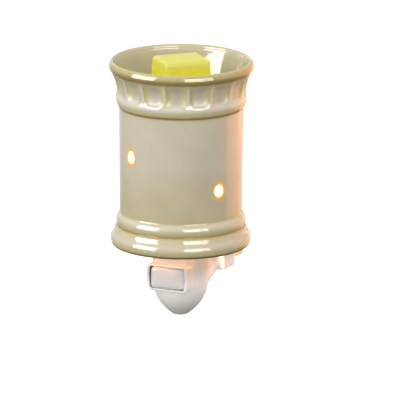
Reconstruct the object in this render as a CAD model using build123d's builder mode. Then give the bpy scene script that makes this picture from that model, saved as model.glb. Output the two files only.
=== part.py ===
"""Plug-in wax melt warmer: a glazed shade with a melting dish over a small lamp on a swivelling wall plug.

Lengths are millimetres and angles are degrees. The origin is the centre of the plug's rear face, which lies
on the outlet. +Y goes into the wall, +Z is up and +X is to the right of someone who faces the wall.
"""
from build123d import *
import os
from math import atan2, cos, degrees, pi, radians, sin, sqrt, tan

# Lamp axis
wall_distance = 46.0        # outlet face to the vertical axis of the lamp and shade

# Ceramic shade with its dish, bottom to top
foot_z = 16.0               # underside of the shade over the plug's centre
shade_height = 103.5
body_radius = 34.0          # at the top of the plain body
body_taper = 0.5            # how much narrower the body is at its lower end
shade_wall = 4.0
foot_reach = 2.8            # each reach is measured out from body_radius
flange_reach = 4.2
cove_reach = 0.6
lower_bead_reach = 1.3
upper_bead_reach = 1.6
collar_reach = 0.9
lip_reach = 5.4
flange_height = 6.4
cove_height = 5.4
lower_bead_height = 6.4
upper_bead_height = 8.4
collar_height = 14.8
lip_height = 2.6
lip_thickness = 2.5
dish_depth = 21.5
dish_floor = 4.0
dish_corner = 5.2
under_corner = 4.0
recess_depth = 6.0          # how far the lamp plate sits up inside the foot
flute_count = 17
ridge_width = 1.25          # left between two niches
flute_depth = 1.8
flute_height = 11.2
flute_end_round = 3.6
flute_lean = 11.0           # the niches lean out with the flared collar
ridge_angle = 32.7          # one ridge between niches, from the front towards +X
glow_hole_width = 5.8
glow_hole_height = 6.8
high_hole_angle = -28.0     # one of the two opposite upper holes, from the front towards +X
low_hole_angle = 65.0
high_hole_z = 69.0
low_hole_z = 52.0

# Wax melt
wax_length = 26.0           # at its top
wax_width = 23.0
wax_height = 22.6
wax_draft = 3.0
wax_round = 2.6
wax_turn = 52.0

# Lamp plate under the shade
plate_clearance = 0.5       # to the shade's foot all round
plate_thickness = 1.2
vent_count = 6
vent_width = 5.0
vent_arc = 34.0
tab_count = 3
tab_width = 8.0
tab_thickness = 0.8
tab_height = 11.0
tab_clearance = 0.8

# Moulded base cup, switch boss and neck
cup_radius = 15.3
cup_wall = 2.0
cup_rim_z = 13.0
cup_depth = 37.1            # rim to the lowest point of the egg
egg_start_z = -4.5          # the straight side ends here
boss_reach = 16.9           # boss face in front of the lamp axis
boss_width = 25.6
boss_height = 15.6
boss_bulge = 1.2
boss_corner = 3.0
boss_round = 1.3
switch_z = -0.4
neck_root_radius = 10.6
neck_end_radius = 6.5
neck_root_distance = 34.0   # from the outlet face
neck_wall = 1.6
neck_end_wall = 3.6

# Switch opening, rocker and the switch behind it
opening_width = 22.0
opening_height = 12.7
opening_bulge = 0.8
opening_corner = 1.4
switch_clearance = 0.3
rocker_width = 20.2
rocker_face_depth = 4.5     # pivot to the rocker's face
rocker_slab = 2.3
rocker_round = 2.0
rocker_corner = 2.3
rocker_tilt_angle = 10.0    # each way from the middle
pivot_depth = 4.9           # boss face to the rocker's pivot
skirt_width = 17.2
skirt_depth = 0.8           # behind the pivot
nose_width = 3.8
nose_depth = 3.0
trunnion_radius = 0.9
trunnion_length = 0.9
running_clearance = 0.05
plunger_radius = 0.8
plunger_reach = 4.9         # pivot to the plunger's tip
case_wall = 1.2
case_front_depth = 5.6      # boss face to the case's front edge
case_back_depth = 13.9
case_floor = 1.5
ear_width = 5.4
ear_reach = 1.6             # ahead of the pivot
arm_length = 15.2
arm_width = 4.0
arm_thickness = 0.6
arm_tilt_angle = 6.0
fulcrum_depth = 10.5        # boss face to the fulcrum's edge
terminal_thickness = 0.8
terminal_width = 3.0
terminal_tail = 3.5
contact_offset = 7.0
common_drop = 3.2

# Cover ring on the cup
ledge_depth = 1.6           # recess for the lamp holder's flange
ledge_radius = 10.0
screw_radius = 12.2         # screws from the lamp axis
screw_angle = 25.0
post_radius = 2.6
post_height = 12.0
screw_shank_radius = 1.4
screw_head_radius = 2.5
screw_head_height = 1.6
screw_length = 18.0
screw_clearance = 0.1

# Lamp holder
holder_radius = 8.2
holder_bore = 6.9
holder_bottom_z = 9.0
holder_floor = 3.0
holder_rise = 5.5           # above the lamp plate
holder_clearance = 0.2
shell_thickness = 0.5
shell_hole = 3.4
socket_contact_radius = 2.2
socket_contact_height = 1.4
rivet_radius = 1.0
strap_width = 2.6
strap_thickness = 0.6

# Lamp
lamp_gap = 0.3
tip_radius = 1.8
tip_height = 1.0
insulator_height = 2.6
insulator_radius = 4.8
base_radius = 5.9
base_height = 11.0
base_wall = 0.5
glass_radius = 11.1
glass_height = 40.0
glass_neck = 5.3
glass_wall = 0.8
glass_foot = 4.0            # cemented inside the screw base
stem_radius = 2.0
stem_height = 9.0
filament_radius = 0.3
filament_span = 6.0
filament_height = 18.0

# Plug head, blades and the swivel
head_width = 21.4
head_height = 12.0
head_depth = 13.2
head_round = 1.6
swivel_gap = 0.2
spigot_radius = 4.0
spigot_length = 7.6         # beyond the plug head's front face
clip_radius = 5.0
clip_thickness = 0.8
clip_opening = 3.0
groove_depth = 0.3
blade_spacing = 12.7
blade_thickness = 1.5
blade_length = 17.5
line_blade_width = 6.35
neutral_blade_width = 7.9
blade_nose = 1.5
blade_hole_radius = 1.6
blade_hole_place = 11.9     # from the outlet's face
blade_root = 6.0
bridge_thickness = 1.2
bridge_height = 2.4
pin_radius = 0.9
pin_reach = 0.6             # beyond the spigot's end
ring_thickness = 0.6
ring_length = 1.6
lead_seat = 0.15            # how far the neutral lead is let into the ring

# Fixed contacts in the neck, and the wires
carrier_thickness = 2.0
brush_thickness = 0.5
brush_width = 2.4
brush_gap = 0.3
wire_radius = 0.8
wire_bend = 2.6
wire_sweep = 5.0
wire_lead = 3.0
wire_slack = 3.0

overrun = 1.0               # how far cuts run past a face

# Places worked out from the sizes
rim_z = foot_z + shade_height
flange_top = foot_z + flange_height
cove_top = flange_top + cove_height
lower_bead_top = cove_top + lower_bead_height
lip_bottom = rim_z - lip_height
collar_bottom = lip_bottom - collar_height
upper_bead_bottom = collar_bottom - upper_bead_height
floor_z = rim_z - dish_depth
under_z = floor_z - dish_floor
flange_radius = body_radius + flange_reach
lip_radius = body_radius + lip_reach
inner_radius = body_radius - shade_wall
plate_top = foot_z + recess_depth
plate_bottom = plate_top - plate_thickness
plate_radius = body_radius - plate_clearance
cup_bottom_z = cup_rim_z - cup_depth
face_y = -wall_distance - boss_reach
pivot_y = face_y + pivot_depth
case_front_y = face_y + case_front_depth
case_back_y = face_y + case_back_depth
fulcrum_y = face_y + fulcrum_depth
case_width = opening_width - 2 * opening_bulge - switch_clearance
case_height = opening_height - switch_clearance
rocker_height = opening_height - 2 * switch_clearance
skirt_height = case_height - 2 * case_wall - switch_clearance
neck_end_y = -head_depth - swivel_gap
holder_top_z = plate_top + holder_rise
holder_floor_z = holder_bottom_z + holder_floor
ledge_z = plate_bottom - ledge_depth
socket_contact_z = holder_floor_z + socket_contact_height
tip_z = socket_contact_z + lamp_gap
insulator_z = tip_z + tip_height
base_z = insulator_z + insulator_height
glass_z = base_z + base_height
spigot_end_y = neck_end_y - spigot_length

lamp_axis = Axis((0, -wall_distance, 0), (0, 0, 1))
plug_axis = Axis((0, 0, 0), (0, 1, 0))
axis_plane = Plane.XZ.offset(wall_distance)


def level(z):
    """The horizontal plane at height z with its origin on the lamp axis."""
    return Plane(origin=(0, -wall_distance, z), x_dir=(1, 0, 0), z_dir=(0, 0, 1))


def upright(y):
    """The vertical plane at depth y, seen from the front."""
    return Plane.XZ.offset(-y)


def beside(x):
    """The vertical plane at x, with local x along +Y and local y up."""
    return Plane.YZ.offset(x)


# Ceramic shade: one casting with the dish in its top, a fluted collar and two rolled beads. It is made as
# the wall round the lamp and the dish above it, which meet on a cone from the crease under the upper bead.
mid_share = 0.5
flange_crest_share = 0.4
flange_shoulder = 0.8
cove_hollow = 0.5
sweep_middle_share = 0.4
collar_sweep_share = 0.245
lip_drop = 0.3
dish_sweep_share = 0.7
corner_share = 0.3
seam_fall_share = 0.55

lip_inner = lip_radius - lip_thickness
dish_low_radius = inner_radius + collar_reach
dish_low_z = floor_z + dish_corner
flange_end_radius = flange_radius - flange_shoulder
cove_radius = body_radius + cove_reach
collar_radius = body_radius + collar_reach
low_body_radius = body_radius - body_taper

flute_mid_z = collar_bottom + sweep_middle_share * collar_height
flute_crest_radius = collar_radius + collar_sweep_share * (lip_radius - collar_radius)
flute_floor_radius = flute_crest_radius - flute_depth
half_flute = pi * flute_crest_radius / flute_count - ridge_width / 2
wall_sagitta = half_flute ** 2 / (2 * flute_crest_radius)
flute_radius = half_flute ** 2 / (2 * (flute_depth - wall_sagitta))
lean = radians(flute_lean)

with BuildPart() as flute:
    flute_plane = Plane(
        origin=(flute_floor_radius + flute_radius * cos(lean), 0, flute_mid_z - flute_radius * sin(lean)),
        x_dir=(-cos(lean), 0, sin(lean)),
        z_dir=(0, 1, 0),
    )
    with BuildSketch(flute_plane) as flute_half:
        Rectangle(flute_radius, flute_height, align=(Align.MIN, Align.CENTER))
        fillet(flute_half.vertices().sort_by(Axis.X)[-2:], radius=flute_end_round)
    revolve(axis=Axis(flute_plane.origin, (sin(lean), 0, cos(lean))))

with BuildPart() as casting:
    with BuildSketch(axis_plane):
        with BuildLine():
            Line((body_radius, foot_z), (body_radius + foot_reach, foot_z))
            ThreePointArc(
                (body_radius + foot_reach, foot_z),
                (flange_radius, foot_z + flange_crest_share * flange_height),
                (flange_end_radius, flange_top),
            )
            ThreePointArc(
                (flange_end_radius, flange_top),
                (
                    mid_share * (flange_end_radius + cove_radius) - cove_hollow,
                    flange_top + mid_share * cove_height,
                ),
                (cove_radius, cove_top),
            )
            ThreePointArc(
                (cove_radius, cove_top),
                (body_radius + lower_bead_reach, cove_top + mid_share * lower_bead_height),
                (low_body_radius, lower_bead_top),
            )
            Line((low_body_radius, lower_bead_top), (body_radius, upper_bead_bottom))
            ThreePointArc(
                (body_radius, upper_bead_bottom),
                (body_radius + upper_bead_reach, upper_bead_bottom + mid_share * upper_bead_height),
                (collar_radius, collar_bottom),
            )
            ThreePointArc(
                (collar_radius, collar_bottom),
                (flute_crest_radius, flute_mid_z),
                (lip_radius, lip_bottom),
            )
            ThreePointArc(
                (lip_radius, lip_bottom),
                (lip_radius - mid_share * lip_thickness, rim_z),
                (lip_inner, lip_bottom + lip_drop),
            )
            ThreePointArc(
                (lip_inner, lip_bottom + lip_drop),
                (
                    lip_inner - dish_sweep_share * (lip_inner - dish_low_radius),
                    mid_share * (lip_bottom + dish_low_z),
                ),
                (dish_low_radius, dish_low_z),
            )
            ThreePointArc(
                (dish_low_radius, dish_low_z),
                (dish_low_radius - corner_share * dish_corner, floor_z + corner_share * dish_corner),
                (dish_low_radius - dish_corner, floor_z),
            )
            Polyline(
                (dish_low_radius - dish_corner, floor_z),
                (0, floor_z),
                (0, under_z),
                (inner_radius - under_corner, under_z),
            )
            ThreePointArc(
                (inner_radius - under_corner, under_z),
                (inner_radius - corner_share * under_corner, under_z - corner_share * under_corner),
                (inner_radius, under_z - under_corner),
            )
            Polyline(
                (inner_radius, under_z - under_corner),
                (inner_radius - body_taper, lower_bead_top),
                (inner_radius - body_taper, plate_top),
                (body_radius, plate_top),
                (body_radius, foot_z),
            )
        make_face()
    revolve(axis=lamp_axis)

with BuildPart() as above_seam:
    with BuildSketch(axis_plane):
        with BuildLine():
            Polyline(
                (0, upper_bead_bottom - seam_fall_share * body_radius),
                (body_radius, upper_bead_bottom),
                (lip_radius + overrun, upper_bead_bottom),
                (lip_radius + overrun, rim_z + overrun),
                (0, rim_z + overrun),
                close=True,
            )
        make_face()
    revolve(axis=lamp_axis)

with BuildPart() as shade_dish:
    add(casting.part)
    add(above_seam.part, mode=Mode.INTERSECT)
    with Locations((0, -wall_distance, 0)):
        with PolarLocations(0, flute_count, start_angle=ridge_angle + 180 / flute_count - 90):
            add(flute.part, mode=Mode.SUBTRACT)

with BuildPart() as shade_body:
    add(casting.part)
    add(above_seam.part, mode=Mode.SUBTRACT)
    glow_planes = []
    for hole_angle, hole_z in ((high_hole_angle, high_hole_z), (low_hole_angle, low_hole_z)):
        for turn in (0, 180):
            heading = radians(hole_angle + turn)
            glow_planes.append(
                Plane(
                    origin=(0, -wall_distance, hole_z),
                    x_dir=(cos(heading), sin(heading), 0),
                    z_dir=(sin(heading), -cos(heading), 0),
                )
            )
    with BuildSketch(*glow_planes):
        Ellipse(glow_hole_width / 2, glow_hole_height / 2)
    extrude(amount=flange_radius, mode=Mode.SUBTRACT)

# Wax melt: a cast block with draft and soft edges, laid in the dish
wax_flare = wax_height * tan(radians(wax_draft))

with BuildPart() as wax_melt:
    wax_plane = level(floor_z).rotated((0, 0, wax_turn))
    with BuildSketch(wax_plane):
        Rectangle(wax_length + 2 * wax_flare, wax_width + 2 * wax_flare)
    extrude(amount=wax_height, taper=wax_draft)
    wax_sides = wax_melt.edges().filter_by(lambda edge: abs((edge @ 1).Z - (edge @ 0).Z) > wax_round)
    fillet(wax_sides, radius=wax_round)
    fillet(wax_melt.faces().sort_by(Axis.Z)[-1].edges(), radius=wax_round)

# Lamp plate: a stamped disc that carries the shade, with vents for heat and spring tabs that centre it
vent_radius_share = 0.62
tab_radius = inner_radius - body_taper - tab_clearance - tab_thickness / 2
screw_turn = radians(screw_angle)
screw_places = [
    (side * screw_radius * cos(screw_turn), screw_radius * sin(screw_turn)) for side in (-1, 1)
]

with BuildPart() as lamp_plate:
    with BuildSketch(level(plate_bottom)):
        Circle(plate_radius)
        Circle(holder_radius + holder_clearance, mode=Mode.SUBTRACT)
        with Locations(*screw_places):
            Circle(screw_shank_radius + screw_clearance, mode=Mode.SUBTRACT)
        with PolarLocations(0, vent_count, start_angle=90):
            SlotArc(
                Edge.make_circle(
                    vent_radius_share * plate_radius, start_angle=-vent_arc / 2, end_angle=vent_arc / 2
                ),
                vent_width,
                mode=Mode.SUBTRACT,
            )
    extrude(amount=plate_thickness)
    with BuildSketch(level(plate_top)):
        with PolarLocations(tab_radius, tab_count, start_angle=90):
            Rectangle(tab_thickness, tab_width)
    extrude(amount=tab_height)

# Base cup: the moulded egg with the switch boss in front and the tapering neck behind
egg_radius_shares = (1.0, 0.965, 0.83, 0.61, 0.355, 0.0)
egg_depth_shares = (0.0, 0.25, 0.505, 0.75, 0.932, 1.0)


def egg_points(radius, bottom_z):
    """Points down the rounded part of the cup, from its straight side to its lowest point."""
    drop = egg_start_z - bottom_z
    return [
        (share * radius, egg_start_z - down * drop)
        for share, down in zip(egg_radius_shares, egg_depth_shares)
    ]


def barrel(width, height, bulge, corner):
    """A round-cornered rectangle whose two short ends bow out, centred on the local origin."""
    corner_x = width / 2 - bulge
    corner_y = height / 2
    with BuildSketch() as outline:
        with BuildLine():
            Line((-corner_x, corner_y), (corner_x, corner_y))
            ThreePointArc((corner_x, corner_y), (width / 2, 0), (corner_x, -corner_y))
            Line((corner_x, -corner_y), (-corner_x, -corner_y))
            ThreePointArc((-corner_x, -corner_y), (-width / 2, 0), (-corner_x, corner_y))
        make_face()
        fillet(outline.vertices(), radius=corner)
    return outline.sketch


def switch_plane(y):
    """The upright plane at depth y with its origin at the height of the switch."""
    return Plane(origin=(0, y, switch_z), x_dir=(1, 0, 0), z_dir=(0, -1, 0))


def neck_cone_points(inset, end_y, root_y):
    """The neck's half section, narrowed by inset, between two depths."""
    slope = (neck_root_radius - neck_end_radius) / (neck_root_distance + neck_end_y)
    end_radius = neck_end_radius - inset + slope * (neck_end_y - end_y)
    root_radius = neck_end_radius - inset + slope * (neck_end_y - root_y)
    return [(0, end_y), (end_radius, end_y), (root_radius, root_y), (0, root_y)]


boss_depth = boss_reach - cup_radius + cup_radius / 2
inner_neck_end_y = neck_end_y - neck_end_wall

with BuildPart() as base_cup:
    with BuildSketch(axis_plane):
        with BuildLine():
            Spline(egg_points(cup_radius, cup_bottom_z), tangents=((0, -1), (-1, 0)))
            Polyline((0, cup_bottom_z), (0, cup_rim_z), (cup_radius, cup_rim_z), (cup_radius, egg_start_z))
        make_face()
    revolve(axis=lamp_axis)
    with BuildSketch(Plane.XY):
        with BuildLine():
            Polyline(*neck_cone_points(0, neck_end_y, -neck_root_distance), close=True)
        make_face()
    revolve(axis=plug_axis)
    with BuildSketch(switch_plane(face_y)):
        add(barrel(boss_width, boss_height, boss_bulge, boss_corner))
    extrude(amount=-boss_depth)
    boss_front = base_cup.faces().sort_by(Axis.Y)[0]
    fillet(boss_front.edges(), radius=boss_round)
    with BuildSketch(axis_plane):
        with BuildLine():
            Spline(
                egg_points(cup_radius - cup_wall, cup_bottom_z + cup_wall), tangents=((0, -1), (-1, 0))
            )
            Polyline(
                (0, cup_bottom_z + cup_wall),
                (0, cup_rim_z + overrun),
                (cup_radius - cup_wall, cup_rim_z + overrun),
                (cup_radius - cup_wall, egg_start_z),
            )
        make_face()
    revolve(axis=lamp_axis, mode=Mode.SUBTRACT)
    with BuildSketch(Plane.XY):
        with BuildLine():
            Polyline(*neck_cone_points(neck_wall, inner_neck_end_y, -wall_distance), close=True)
        make_face()
    revolve(axis=plug_axis, mode=Mode.SUBTRACT)
    with BuildSketch(upright(neck_end_y + overrun)):
        Circle(spigot_radius + running_clearance)
    extrude(amount=neck_end_wall + 2 * overrun, mode=Mode.SUBTRACT)
    with BuildSketch(switch_plane(face_y - overrun)):
        add(barrel(opening_width, opening_height, opening_bulge, opening_corner))
    extrude(amount=-(case_back_depth + 2 * overrun), mode=Mode.SUBTRACT)
    with BuildSketch(level(cup_rim_z - post_height)):
        with Locations(*screw_places):
            Circle(post_radius)
    extrude(amount=post_height)
    with BuildSketch(level(cup_rim_z)):
        with Locations(*screw_places):
            Circle(screw_shank_radius)
    extrude(amount=-post_height, mode=Mode.SUBTRACT)

# Cover ring: closes the cup, seats the lamp holder and carries the lamp plate
with BuildPart() as cover_ring:
    with BuildSketch(level(cup_rim_z)):
        Circle(cup_radius)
        Circle(holder_radius + holder_clearance, mode=Mode.SUBTRACT)
        with Locations(*screw_places):
            Circle(screw_shank_radius + screw_clearance, mode=Mode.SUBTRACT)
    extrude(amount=plate_bottom - cup_rim_z)
    with BuildSketch(level(ledge_z)):
        Circle(ledge_radius)
    extrude(amount=ledge_depth, mode=Mode.SUBTRACT)

# Two screws go through the lamp plate and the cover ring into the cup's posts
with BuildPart() as plate_screws:
    with BuildSketch(level(plate_top)):
        with Locations(*screw_places):
            Circle(screw_head_radius)
    extrude(amount=screw_head_height)
    with BuildSketch(level(plate_top)):
        with Locations(*screw_places):
            Circle(screw_shank_radius)
    extrude(amount=-screw_length)

# Lamp holder: an insulating sleeve whose flange is clamped under the lamp plate
with BuildPart() as lamp_holder:
    with BuildSketch(level(holder_bottom_z)):
        Circle(holder_radius)
    extrude(amount=holder_top_z - holder_bottom_z)
    with BuildSketch(level(ledge_z)):
        Circle(ledge_radius - holder_clearance)
    extrude(amount=ledge_depth)
    with BuildSketch(level(holder_floor_z)):
        Circle(holder_bore)
    extrude(amount=holder_top_z - holder_floor_z + overrun, mode=Mode.SUBTRACT)
    strap_hole_radius = rivet_radius + screw_clearance
    shell_strap_x = holder_bore - shell_thickness - strap_width / 2
    with BuildSketch(level(holder_bottom_z - overrun)):
        Circle(strap_hole_radius)
        with Locations((shell_strap_x, 0)):
            Circle(strap_hole_radius)
    extrude(amount=holder_floor + 2 * overrun, mode=Mode.SUBTRACT)

# The wires' ends under the lamp holder
lead_y = -wall_distance + contact_offset / 2 + wire_bend
strap_z = holder_bottom_z - strap_thickness


def strap(start, end):
    """A flat strap with round ends between two points, measured from the lamp axis."""
    run_x, run_y = end[0] - start[0], end[1] - start[1]
    with BuildSketch() as outline:
        with Locations(((start[0] + end[0]) / 2, (start[1] + end[1]) / 2)):
            SlotCenterToCenter(
                sqrt(run_x ** 2 + run_y ** 2), strap_width, rotation=degrees(atan2(run_y, run_x))
            )
    return outline.sketch


# Screw shell of the lamp holder, with its rivet and strap underneath
with BuildPart() as socket_shell:
    with BuildSketch(level(holder_floor_z)):
        Circle(holder_bore - screw_clearance)
    extrude(amount=holder_top_z - holder_floor_z - shell_thickness)
    with BuildSketch(level(holder_floor_z + shell_thickness)):
        Circle(holder_bore - screw_clearance - shell_thickness)
    extrude(amount=holder_top_z, mode=Mode.SUBTRACT)
    with BuildSketch(level(holder_floor_z)):
        Circle(shell_hole)
    extrude(amount=shell_thickness, mode=Mode.SUBTRACT)
    with BuildSketch(level(holder_floor_z)):
        with Locations((shell_strap_x, 0)):
            Circle(rivet_radius)
    extrude(amount=-holder_floor)
    with BuildSketch(level(strap_z)):
        add(strap((shell_strap_x, 0), (shell_strap_x, wall_distance + lead_y)))
    extrude(amount=strap_thickness)

# Centre contact of the lamp holder, with its rivet and strap
with BuildPart() as socket_contact:
    with BuildSketch(level(holder_floor_z)):
        Circle(socket_contact_radius)
    extrude(amount=socket_contact_height)
    with BuildSketch(level(holder_floor_z)):
        Circle(rivet_radius)
    extrude(amount=-holder_floor)
    with BuildSketch(level(strap_z)):
        add(strap((0, 0), (-contact_offset, wall_distance + lead_y)))
    extrude(amount=strap_thickness)

# Lamp: a small candelabra bulb that screws into the holder
with BuildPart() as bulb_tip:
    with BuildSketch(level(tip_z)):
        Circle(tip_radius)
    extrude(amount=tip_height)

with BuildPart() as bulb_insulator:
    with BuildSketch(level(insulator_z)):
        Circle(tip_radius + base_wall)
    with BuildSketch(level(base_z)):
        Circle(insulator_radius)
    loft()

with BuildPart() as bulb_base:
    with BuildSketch(level(base_z)):
        Circle(base_radius)
    extrude(amount=base_height)
    with BuildSketch(level(base_z + base_wall)):
        Circle(base_radius - base_wall)
    extrude(amount=base_height, mode=Mode.SUBTRACT)

glass_foot_z = glass_z - glass_foot
glass_radius_shares = (0.0, 0.2, 0.72, 1.0, 0.88, 0.5, 0.0)
glass_height_shares = (0.0, 0.07, 0.22, 0.42, 0.66, 0.9, 1.0)


def glass_points(inset):
    """Points up the bulb's pear shape, moved inwards by inset."""
    swell = glass_radius - glass_neck
    points = []
    for number, (share, up) in enumerate(zip(glass_radius_shares, glass_height_shares)):
        radius = glass_neck + share * swell
        if number > glass_radius_shares.index(1.0):
            radius = share * glass_radius
        points.append((max(radius - inset, 0), glass_z + up * (glass_height - inset)))
    return points


def glass_half(inset, foot_z_inside):
    """The half section of the bulb's glass, from its axis to its skin moved inwards by inset."""
    points = glass_points(inset)
    with BuildSketch() as outline:
        with BuildLine():
            Spline(points, tangents=((0, 1), (-1, 0)))
            Polyline(points[-1], (0, foot_z_inside), (glass_neck - inset, foot_z_inside), points[0])
        make_face()
    return outline.sketch


with BuildPart() as bulb_glass:
    with BuildSketch(axis_plane):
        add(glass_half(0, glass_foot_z))
    revolve(axis=lamp_axis)
    with BuildSketch(axis_plane):
        add(glass_half(glass_wall, glass_foot_z + glass_wall))
    revolve(axis=lamp_axis, mode=Mode.SUBTRACT)

with BuildPart() as bulb_stem:
    with BuildSketch(level(glass_foot_z + glass_wall)):
        Circle(stem_radius)
    extrude(amount=glass_foot + stem_height)

with BuildPart() as bulb_filament:
    stem_top_z = glass_z + glass_wall + stem_height
    with BuildSketch(level(stem_top_z)):
        with Locations((-filament_span / 2 + stem_radius / 2, 0), (filament_span / 2 - stem_radius / 2, 0)):
            Circle(filament_radius)
    extrude(amount=filament_height - stem_height)
    with BuildSketch(beside(-filament_span / 2)):
        with Locations((-wall_distance, glass_z + glass_wall + filament_height)):
            Circle(filament_radius)
    extrude(amount=filament_span)

# Plug blades, each with its bridge and its lead into the swivel
ring_inner_radius = spigot_radius - ring_thickness
lead_offset = ring_inner_radius - pin_radius + lead_seat
bridge_y = -blade_root - bridge_thickness


def blade_profile(width):
    """A blade seen from the side, with its nose tapered for the slot and the hole near its tip."""
    half = width / 2
    with BuildSketch() as outline:
        with BuildLine():
            Polyline(
                (-blade_root, -half),
                (blade_length - blade_nose, -half),
                (blade_length, -half + blade_nose),
                (blade_length, half - blade_nose),
                (blade_length - blade_nose, half),
                (-blade_root, half),
                close=True,
            )
        make_face()
        with Locations((blade_hole_place, 0)):
            Circle(blade_hole_radius, mode=Mode.SUBTRACT)
    return outline.sketch


with BuildPart() as line_blade:
    with BuildSketch(beside(blade_spacing / 2 - blade_thickness / 2)):
        add(blade_profile(line_blade_width))
    extrude(amount=blade_thickness)
    with BuildSketch(beside(-pin_radius)):
        with Locations((bridge_y + bridge_thickness / 2, 0)):
            Rectangle(bridge_thickness, bridge_height)
    extrude(amount=pin_radius + blade_spacing / 2 + blade_thickness / 2)
    with BuildSketch(upright(bridge_y)):
        Circle(pin_radius)
    extrude(amount=bridge_y - spigot_end_y + pin_reach)

with BuildPart() as neutral_blade:
    with BuildSketch(beside(-blade_spacing / 2 - blade_thickness / 2)):
        add(blade_profile(neutral_blade_width))
    extrude(amount=blade_thickness)
    with BuildSketch(beside(-blade_spacing / 2 - blade_thickness / 2)):
        with Locations((bridge_y + bridge_thickness / 2, 0)):
            Rectangle(bridge_thickness, bridge_height)
    extrude(amount=blade_spacing / 2 + blade_thickness / 2 - lead_offset + pin_radius)
    with BuildSketch(upright(bridge_y)):
        with Locations((-lead_offset, 0)):
            Circle(pin_radius)
    extrude(amount=bridge_y - spigot_end_y)

with BuildPart() as slip_ring:
    with BuildSketch(upright(spigot_end_y)):
        Circle(spigot_radius)
        Circle(ring_inner_radius, mode=Mode.SUBTRACT)
    extrude(amount=-ring_length)
    add(neutral_blade.part, mode=Mode.SUBTRACT)

# Plug head: moulded round the blades, with the spigot that turns in the neck
clip_y = inner_neck_end_y - swivel_gap

with BuildPart() as plug_head:
    with BuildSketch(upright(-head_depth)):
        RectangleRounded(head_width, head_height, head_round)
    extrude(amount=-head_depth)
    fillet(plug_head.faces().sort_by(Axis.Y)[0].edges(), radius=head_round / 2)
    with BuildSketch(upright(-head_depth)):
        Circle(spigot_radius)
    extrude(amount=-head_depth - spigot_end_y)
    with BuildSketch(upright(clip_y)):
        Circle(spigot_radius + overrun)
        Circle(spigot_radius - groove_depth, mode=Mode.SUBTRACT)
    extrude(amount=clip_thickness + running_clearance, mode=Mode.SUBTRACT)
    for metal in (line_blade, neutral_blade, slip_ring):
        add(metal.part, mode=Mode.SUBTRACT)

with BuildPart() as swivel_clip:
    with BuildSketch(upright(clip_y)):
        Circle(clip_radius)
        Circle(spigot_radius - groove_depth + running_clearance, mode=Mode.SUBTRACT)
        with Locations((0, -clip_radius)):
            Rectangle(clip_opening, clip_radius, mode=Mode.SUBTRACT)
    extrude(amount=clip_thickness)

# Contact carrier in the neck, with a brush for the pin and one for the ring
pin_end_y = spigot_end_y - pin_reach
carrier_front_y = pin_end_y - 2 * brush_gap - brush_thickness
carrier_back_y = carrier_front_y - carrier_thickness
tail_y = carrier_back_y - terminal_tail / 2
pin_tail_z = -ring_inner_radius
ring_brush_z = spigot_radius + brush_gap + brush_thickness / 2

with BuildPart() as line_brush:
    with BuildSketch(beside(-brush_width / 2)):
        with BuildLine():
            Polyline(
                (pin_end_y - brush_gap, brush_width / 2),
                (pin_end_y - brush_gap, pin_tail_z - brush_thickness),
                (tail_y, pin_tail_z - brush_thickness),
                (tail_y, pin_tail_z),
                (pin_end_y - brush_gap - brush_thickness, pin_tail_z),
                (pin_end_y - brush_gap - brush_thickness, brush_width / 2),
                close=True,
            )
        make_face()
    extrude(amount=brush_width)

with BuildPart() as neutral_brush:
    with BuildSketch(beside(-brush_width / 2)):
        with Locations(((spigot_end_y + ring_length + tail_y) / 2, ring_brush_z)):
            Rectangle(spigot_end_y + ring_length - tail_y, brush_thickness)
    extrude(amount=brush_width)

with BuildPart() as brush_carrier:
    with BuildSketch(Plane.XY):
        with BuildLine():
            Polyline(
                *neck_cone_points(neck_wall + running_clearance, carrier_front_y, carrier_back_y), close=True
            )
        make_face()
    revolve(axis=plug_axis)
    for metal in (line_brush, neutral_brush):
        add(metal.part, mode=Mode.SUBTRACT)

# Switch terminals: the common one is the see-saw's fulcrum, the other one stands under its left end
tail_end_y = case_back_y + terminal_tail
tilt_slope = tan(radians(arm_tilt_angle))
contact_y = fulcrum_y + (contact_offset + terminal_thickness / 2) * tilt_slope + running_clearance
common_z = switch_z - common_drop

with BuildPart() as common_terminal:
    with BuildSketch(beside(-terminal_thickness / 2)):
        with BuildLine():
            Polyline(
                (fulcrum_y, switch_z + arm_width / 2),
                (case_back_y - case_floor / 2, switch_z + arm_width / 2),
                (case_back_y - case_floor / 2, common_z + terminal_width / 2),
                (tail_end_y, common_z + terminal_width / 2),
                (tail_end_y, common_z - terminal_width / 2),
                (fulcrum_y, common_z - terminal_width / 2),
                close=True,
            )
        make_face()
    extrude(amount=terminal_thickness)

with BuildPart() as switched_terminal:
    with BuildSketch(beside(-contact_offset - terminal_thickness / 2)):
        with Locations(((contact_y + tail_end_y) / 2, switch_z)):
            Rectangle(tail_end_y - contact_y, terminal_width)
    extrude(amount=terminal_thickness)

with BuildPart() as contact_arm:
    arm_turn = radians(-arm_tilt_angle)
    arm_plane = Plane(
        origin=(0, fulcrum_y, switch_z), x_dir=(cos(arm_turn), sin(arm_turn), 0), z_dir=(0, 0, 1)
    ).offset(-arm_width / 2)
    with BuildSketch(arm_plane):
        with Locations((0, -running_clearance)):
            Rectangle(arm_length, arm_thickness, align=(Align.CENTER, Align.MAX))
    extrude(amount=arm_width)

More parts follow.
